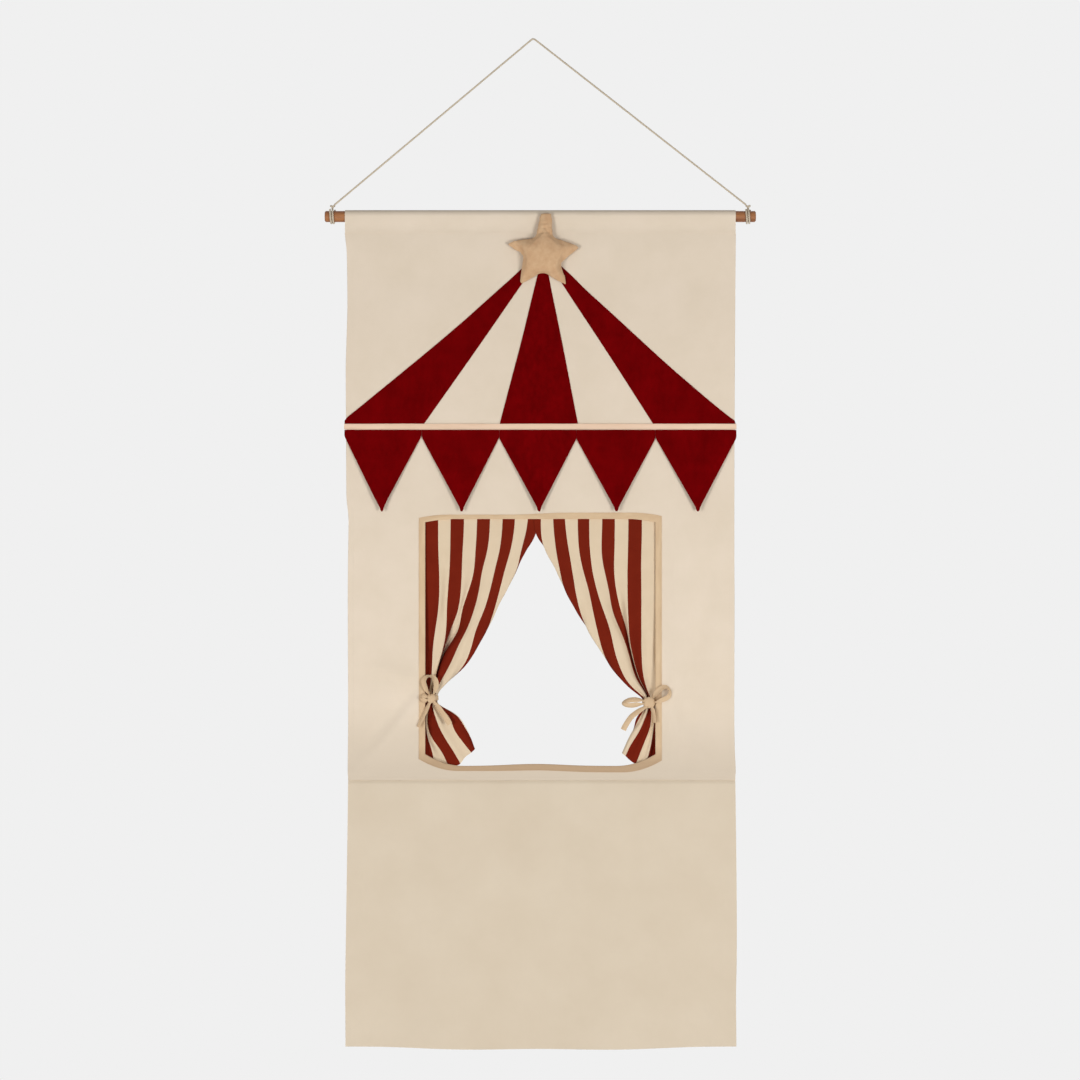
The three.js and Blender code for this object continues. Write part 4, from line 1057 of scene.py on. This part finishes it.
def make_star():
    outline = star_outline()
    shape = bmesh.new()
    back, front = ([shape.verts.new((p.x / 1000, p.y / 1000, depth / 1000)) for p in outline]
                   for depth in (-STAR_FLAT, STAR_FLAT))
    for k, vert in enumerate(back):
        after = (k + 1) % len(outline)
        shape.faces.new([vert, back[after], front[after], front[k]])
    shape.faces.new(back[::-1])
    shape.faces.new(front)
    star = finish_mesh("stuffed_star", shape, VELOUR, "star", ["star_cushion"], 180)
    reworked(star, "REMESH", mode="VOXEL", voxel_size=STAR_GRAIN / 1000, use_smooth_shade=True)
    flat = [vert.co.copy() for vert in star.data.vertices]
    stuff(star)
    for vert, before in zip(star.data.vertices, flat):
        moved = vert.co - before
        if moved.length > FURTHEST_SWELL / 1000:
            vert.co = before + moved.normalized() * FURTHEST_SWELL / 1000
    reworked(star, "SMOOTH", factor=0.5, iterations=5)
    (left, right), (foot, top), (lowest, tallest) = (
        (min(places), max(places)) for places in zip(*(vert.co for vert in star.data.vertices)))
    want_left, want_right, want_top, want_foot = STAR_SPAN
    for vert in star.data.vertices:
        x, high, out = vert.co
        x = lerp(want_left, want_right, (x - left) / (right - left)) - STAR_PLACE.x
        high = STAR_PLACE.z - lerp(want_foot, want_top, (high - foot) / (top - foot))
        out *= STAR_FRONT / tallest if out > 0 else -STAR_BACK / lowest
        aside = x - GATHER_MIDDLE
        if out > 0 and abs(aside) < GATHER_HALF:
            for level, depth in GATHERS:
                share = 1 - (aside / GATHER_HALF) ** 2
                out -= depth * share * hump(high - 0.1 * aside, level, GATHER_WIDTH)
            out -= 1.8 * hump(math.hypot(aside, high - RING_HEIGHT), RING_RADIUS, 1.2)
        turned = Matrix.Rotation(STAR_LEAN, 3, "X") @ Vector((x, -out, high))
        vert.co = on_panel(turned.x + STAR_PLACE.x, turned.y + STAR_PLACE.y, STAR_PLACE.z - turned.z)
    reworked(star, "SUBSURF", levels=1, render_levels=1)
    for face in star.data.polygons:
        face.use_smooth = True


# Bias tape round the window

def make_binding(side):
    front = [(BINDING_WIDTH, -1.05), (BINDING_WIDTH - 0.8, -1.1), (BINDING_WIDTH - 2, -0.95), (8, -1.15),
             (4, -1.15), (1.4, -1.15), (0.75, -0.9), (0.45, -0.4)]
    rows = []
    for offset, y, run in with_run([*front, (0.4, 0), *[(offset, -y) for offset, y in front[::-1]]]):
        row = []
        for x, drop in window_line(side, offset):
            pucker = 0.18 * noise_at(x / 11, drop / 11, 4.2) if offset > 2 else 0
            row.append((upper_place(x, y + pucker, drop), (run, x + drop)))
        rows.append(row)
    return sewn("bound_edge_" + side, [rows], FOLDED_TAPE, BIAS_TAPE, "panel",
                ["window_binding_" + side])


# Curtains

def curtain_at(side, across):
    """The curtain's line down through one place across its flat cloth: (drop, x, how far back)."""
    tie = HUNG[side][-1][0]
    low = smooth_between(HEMS[side], across)
    rows = [(drop, TUCK * (1 - ease(drop, 860, 950)), nodes) for drop, nodes in HUNG[side]]
    rows += [(lerp(tie, low, share), 3, nodes) for share, nodes in FLARE[side]]
    line = []
    for drop, tuck, nodes in rows:
        _, x, y = nodes[0]
        nodes = [(-TUCK, x + math.copysign(tuck, x), y + 2.5), *nodes]
        line.append((drop, smooth_between(nodes, across), smooth_between(nodes, across, 2)))
    return line


def soften(rows, tie):
    """Evens out the curtain's lines between the measured rows, less so near the tie."""
    for _ in range(SOFT_PASSES):
        moved = []
        for above, row, below in zip(rows, rows[1:], rows[2:]):
            line = []
            for over, (u, x, y, drop), under in zip(above, row, below):
                share = 0.5 * min(1, abs(drop - tie) / SOFT_REACH)
                line.append((u, lerp(x, (over[1] + under[1]) / 2, share),
                             lerp(y, (over[2] + under[2]) / 2, share), drop))
            moved.append(line)
        rows = [rows[0], *moved, rows[-1]]
    return rows


def make_curtain(side):
    width = HUNG[side][0][1][-1][0]
    tie = HUNG[side][-1][0]
    columns = [-TUCK, -TUCK / 2] + steps_to(0, width, 2.2)
    lines = [curtain_at(side, u) for u in columns]
    rows = []
    for k in range(CURTAIN_ROWS + 1):
        share = k / CURTAIN_ROWS
        row = []
        for u, line in zip(columns, lines):
            drop = lerp(HEADING_DROP, tie, share / TIE_SHARE)
            if share > TIE_SHARE:
                drop = lerp(tie, line[-1][0], (share - TIE_SHARE) / (1 - TIE_SHARE))
            x, y = smooth_between(line, drop), smooth_between(line, drop, 2)
            if side == "right":
                x -= 3.4 * ease(u, 15, 80) * (0.4 + 0.6 * ease(drop, 611, 700)) * (1 - ease(drop, 860, 940))
            # The gathered cloth's outer edge is drawn behind the window's bound edge
            x += math.copysign(8 * (1 - ease(u, 0, 25)) * ease(drop, 860, 930), x)
            ripple = 0.35 * noise_at(u / 14, drop / 60, 3 if side == "left" else 9)
            free = 1 - hump(drop, tie, 25)
            folded = 1 + 0.15 * free
            if u < 130:
                folded += 0.6 * ease(drop, 690, 780) * (1 - ease(drop, 900, 950))
            row.append((u, x, max(0, y * folded + ripple * free), drop))
        rows.append(row)
    shift = STRIPE if side == "right" else 0
    placed = []
    for row in soften(rows, tie):
        reach = [x for _, x, _, _ in row]
        packed = 1 - (max(reach) - min(reach)) / width
        line = []
        for u, x, y, drop in row:
            pleat = PLEAT_DEPTH * packed * (0.5 - 0.5 * math.cos(2 * math.pi * u / PLEAT))
            line.append((cloth_place(x, min(FURTHEST_BACK, CURTAIN_BACK + y + pleat), drop),
                         (max(u, 0.5) + shift, drop)))
        placed.append(line)
    curtain = sewn(side + "_curtain_cloth", [placed], CURTAIN_THICKNESS, STRIPED, "panel",
                   [side + "_curtain"], 60)
    return curtain, width


# Ties

def strap(name, node, line, width_and_lean):
    """A soft flat tape along a line, in metres; its width leans from the line's plane, in degrees."""
    shape, flat = new_shape()
    rings = []
    for k, (here, ahead, _, run) in enumerate(along(line)):
        width, lean = width_and_lean(k / (len(line) - 1))
        width, lean = width / 1000, math.radians(lean)
        side = Vector((-ahead.z, 0, ahead.x)).normalized()
        across = (Vector((0, -1, 0)) * math.cos(lean) + side * math.sin(lean)).normalized()
        through = across.cross(ahead).normalized()
        ring = []
        for face in (1, -1):
            for step in range(-3, 4):
                a = face * step / 3
                curl = 0.12 * width * (a * a - 0.5)
                out = curl + face * TAPE_THICKNESS / 2000 * (1 - 0.55 * abs(a) ** 6)
                ring.append(here + across * width / 2 * a + through * out)
        rings.append(closed(shape, ring, lambda c: (c * 0.0013, run)))
    return taped(name, node, shape, flat, rings)


def make_tie(side):
    x, drop = KNOT_AT[side]
    wide, high, deep = KNOT_SIZES[side]
    sway = billow(x, drop)

    def on_knot(a, b, depth):
        return on_panel(x + a, KNOT_FRONT + depth + sway, drop - b)

    rows = []
    for level in BAND_LEVELS:
        row = []
        for k in range(97):
            right, back = math.cos(2 * math.pi * k / 96), math.sin(2 * math.pi * k / 96)
            reach = (abs(right) ** BAND_SQUARE + abs(back) ** BAND_SQUARE) ** (-1 / BAND_SQUARE)
            pull = 0.35 * noise_at(right * 4, back * 4, level / 5)
            droop = 0.9 * back + 0.6 * noise_at(right * 1.7, back * 1.7, 8)
            row.append((on_panel(x + math.copysign(2.5, x) + (BAND_HALF + pull) * reach * right,
                                 BAND_BACK + (BAND_DEEP + pull) * reach * back + sway,
                                 drop - level + droop),
                        (k * 0.9, level)))
        rows.append(row)
    pieces = [sewn(side + "_tie", [rows], FOLDED_TAPE, BIAS_TAPE, "panel", [side + "_tie_band"], 60)]

    shape, flat = new_shape()
    rings = []
    for k in range(13):
        a = k / 6 - 1
        swell = max(0.05, 1 - abs(a) ** 3.2) ** 0.5 * (1 + 0.07 * math.cos(3 * math.pi * a) * (1 - a ** 4))
        ring = []
        for c in range(40):
            out, up = math.cos(2 * math.pi * c / 40), math.sin(2 * math.pi * c / 40)
            lump = swell * (1 + 0.12 * noise_at(a * 2.2, out * 1.6, up * 1.6))
            ring.append(on_knot(a * wide, up * high * lump, out * deep * lump))
        rings.append(closed(shape, ring, lambda c: (k * 0.001, c * 0.0008)))
    pieces.append(taped(side + "_knot", side + "_bow_knot", shape, flat, rings))

    def root(direction):
        """Where a tape leaves the knot: just under its skin, in the tape's direction."""
        unit = Vector(direction).normalized()
        roundness = math.sqrt(1 - (TAPE_DEPTH / deep) ** 2)
        return unit * (roundness / math.hypot(unit.x / wide, unit.y / high) - 1.5)

    for part, places in BOWS[side].items():
        is_loop = part.startswith("loop")
        far = 30 if part == "tail_outer" else 80
        turn = sum(a[0] * b[1] - b[0] * a[1] for a, b in zip(places, places[1:]))

        def width_and_lean(share):
            if is_loop:
                return (TAPE_WIDTH * lerp(0.6, 1.08, ease(min(share, 1 - share), 0, 0.2)),
                        math.copysign(14 + 48 * abs(math.sin(2 * math.pi * share)) ** 0.8, turn))
            return TAPE_WIDTH * lerp(0.65, 1.1, ease(share, 0, 0.3)), lerp(50, far, share)

        corners = [root(places[0]), *(Vector(place) * BOW_REACH for place in places[1:])]
        if is_loop:
            corners[-1] = root(places[-1])
        sink = {"tail_inner": TAPE_DEPTH - 1.2, "tail_outer": TAPE_DEPTH + 1.2}.get(part, TAPE_DEPTH)
        line = curve_through([on_knot(c.x, c.y, sink) for c in corners], 44)
        pieces.append(strap(side + "_" + part, side + "_bow_" + part, line, width_and_lean))
    return pieces


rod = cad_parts["wooden_rod"]
for slot in range(len(rod.data.materials)):
    rod.data.materials[slot] = WOOD[0]
if not rod.data.materials:
    rod.data.materials.append(WOOD[0])

make_pocket()
panel = make_upper_panel()
bindings = [make_binding(side) for side in WINDOW_SIDES]
make_waist_strip()
make_lower_panel()
sew_panel()
for name in WEDGE_EDGES:
    make_wedge(name)
make_ribbon()
for number in range(1, PENNANTS + 1):
    make_pennant(number)
make_star()
for side in ("left", "right"):
    curtain, width = make_curtain(side)
    pieces = make_tie(side)


# Floor, background and lamps

def plain_background():
    world = bpy.data.worlds.new("studio")
    bpy.context.scene.world = world
    tree = empty_tree(world)
    seen = 0
    for ray in ("Is Camera Ray", "Is Glossy Ray", "Is Transmission Ray"):
        seen = add_node(tree, "Math", {0: add_node(tree, "LightPath", output=ray), 1: seen},
                        operation="MAXIMUM")
    light = add_node(tree, "Background", {"Color": colour("#FFFFFF"), "Strength": 0.3})
    shown = add_node(tree, "Background", {"Color": colour("#F0F0F0")})
    mix = add_node(tree, "MixShader", {0: seen, 1: light, 2: shown})
    add_node(tree, "OutputWorld", {"Surface": mix})


def pale_floor():
    bpy.ops.object.select_all(action="DESELECT")
    bpy.ops.mesh.primitive_circle_add(vertices=96, radius=1.7, fill_type="NGON", location=(0.014, 0, -2.42))
    floor = bpy.context.object
    floor.name = "floor"
    material = bpy.data.materials.new("floor")
    tree = empty_tree(material)
    grey = {"Color": colour("#F0F0F0")}
    seen = add_node(tree, "Math", {0: add_node(tree, "LightPath", output="Is Camera Ray"), 1: 0.7},
                    operation="MULTIPLY")
    mix = add_node(tree, "MixShader", {0: seen, 1: add_node(tree, "BsdfDiffuse", grey),
                                       2: add_node(tree, "Emission", grey)})
    add_node(tree, "OutputMaterial", {"Surface": mix})
    floor.data.materials.append(material)


def soft_lamp(name, place, aim, size, power):
    data = bpy.data.lights.new(name, "AREA")
    data.shape = "RECTANGLE"
    data.size, data.size_y = size
    data.energy = power
    lamp = bpy.data.objects.new(name, data)
    lamp.location = place
    lamp.rotation_euler = (Vector(aim) - Vector(place)).to_track_quat("-Z", "Y").to_euler()
    bpy.context.scene.collection.objects.link(lamp)


plain_background()
pale_floor()
soft_lamp("left_lamp", (-2.2, -2.9, -1.5), (0, 0, -1.2), (1.1, 1.1), 55)
soft_lamp("right_lamp", (2.2, -2.9, -1.5), (0, 0, -1.2), (1.1, 1.1), 61)
soft_lamp("back_lamp", (0.3, 3.2, 0.2), (0, 0, -1.0), (2.0, 2.0), 45)
bpy.context.scene.view_settings.view_transform = "Standard"
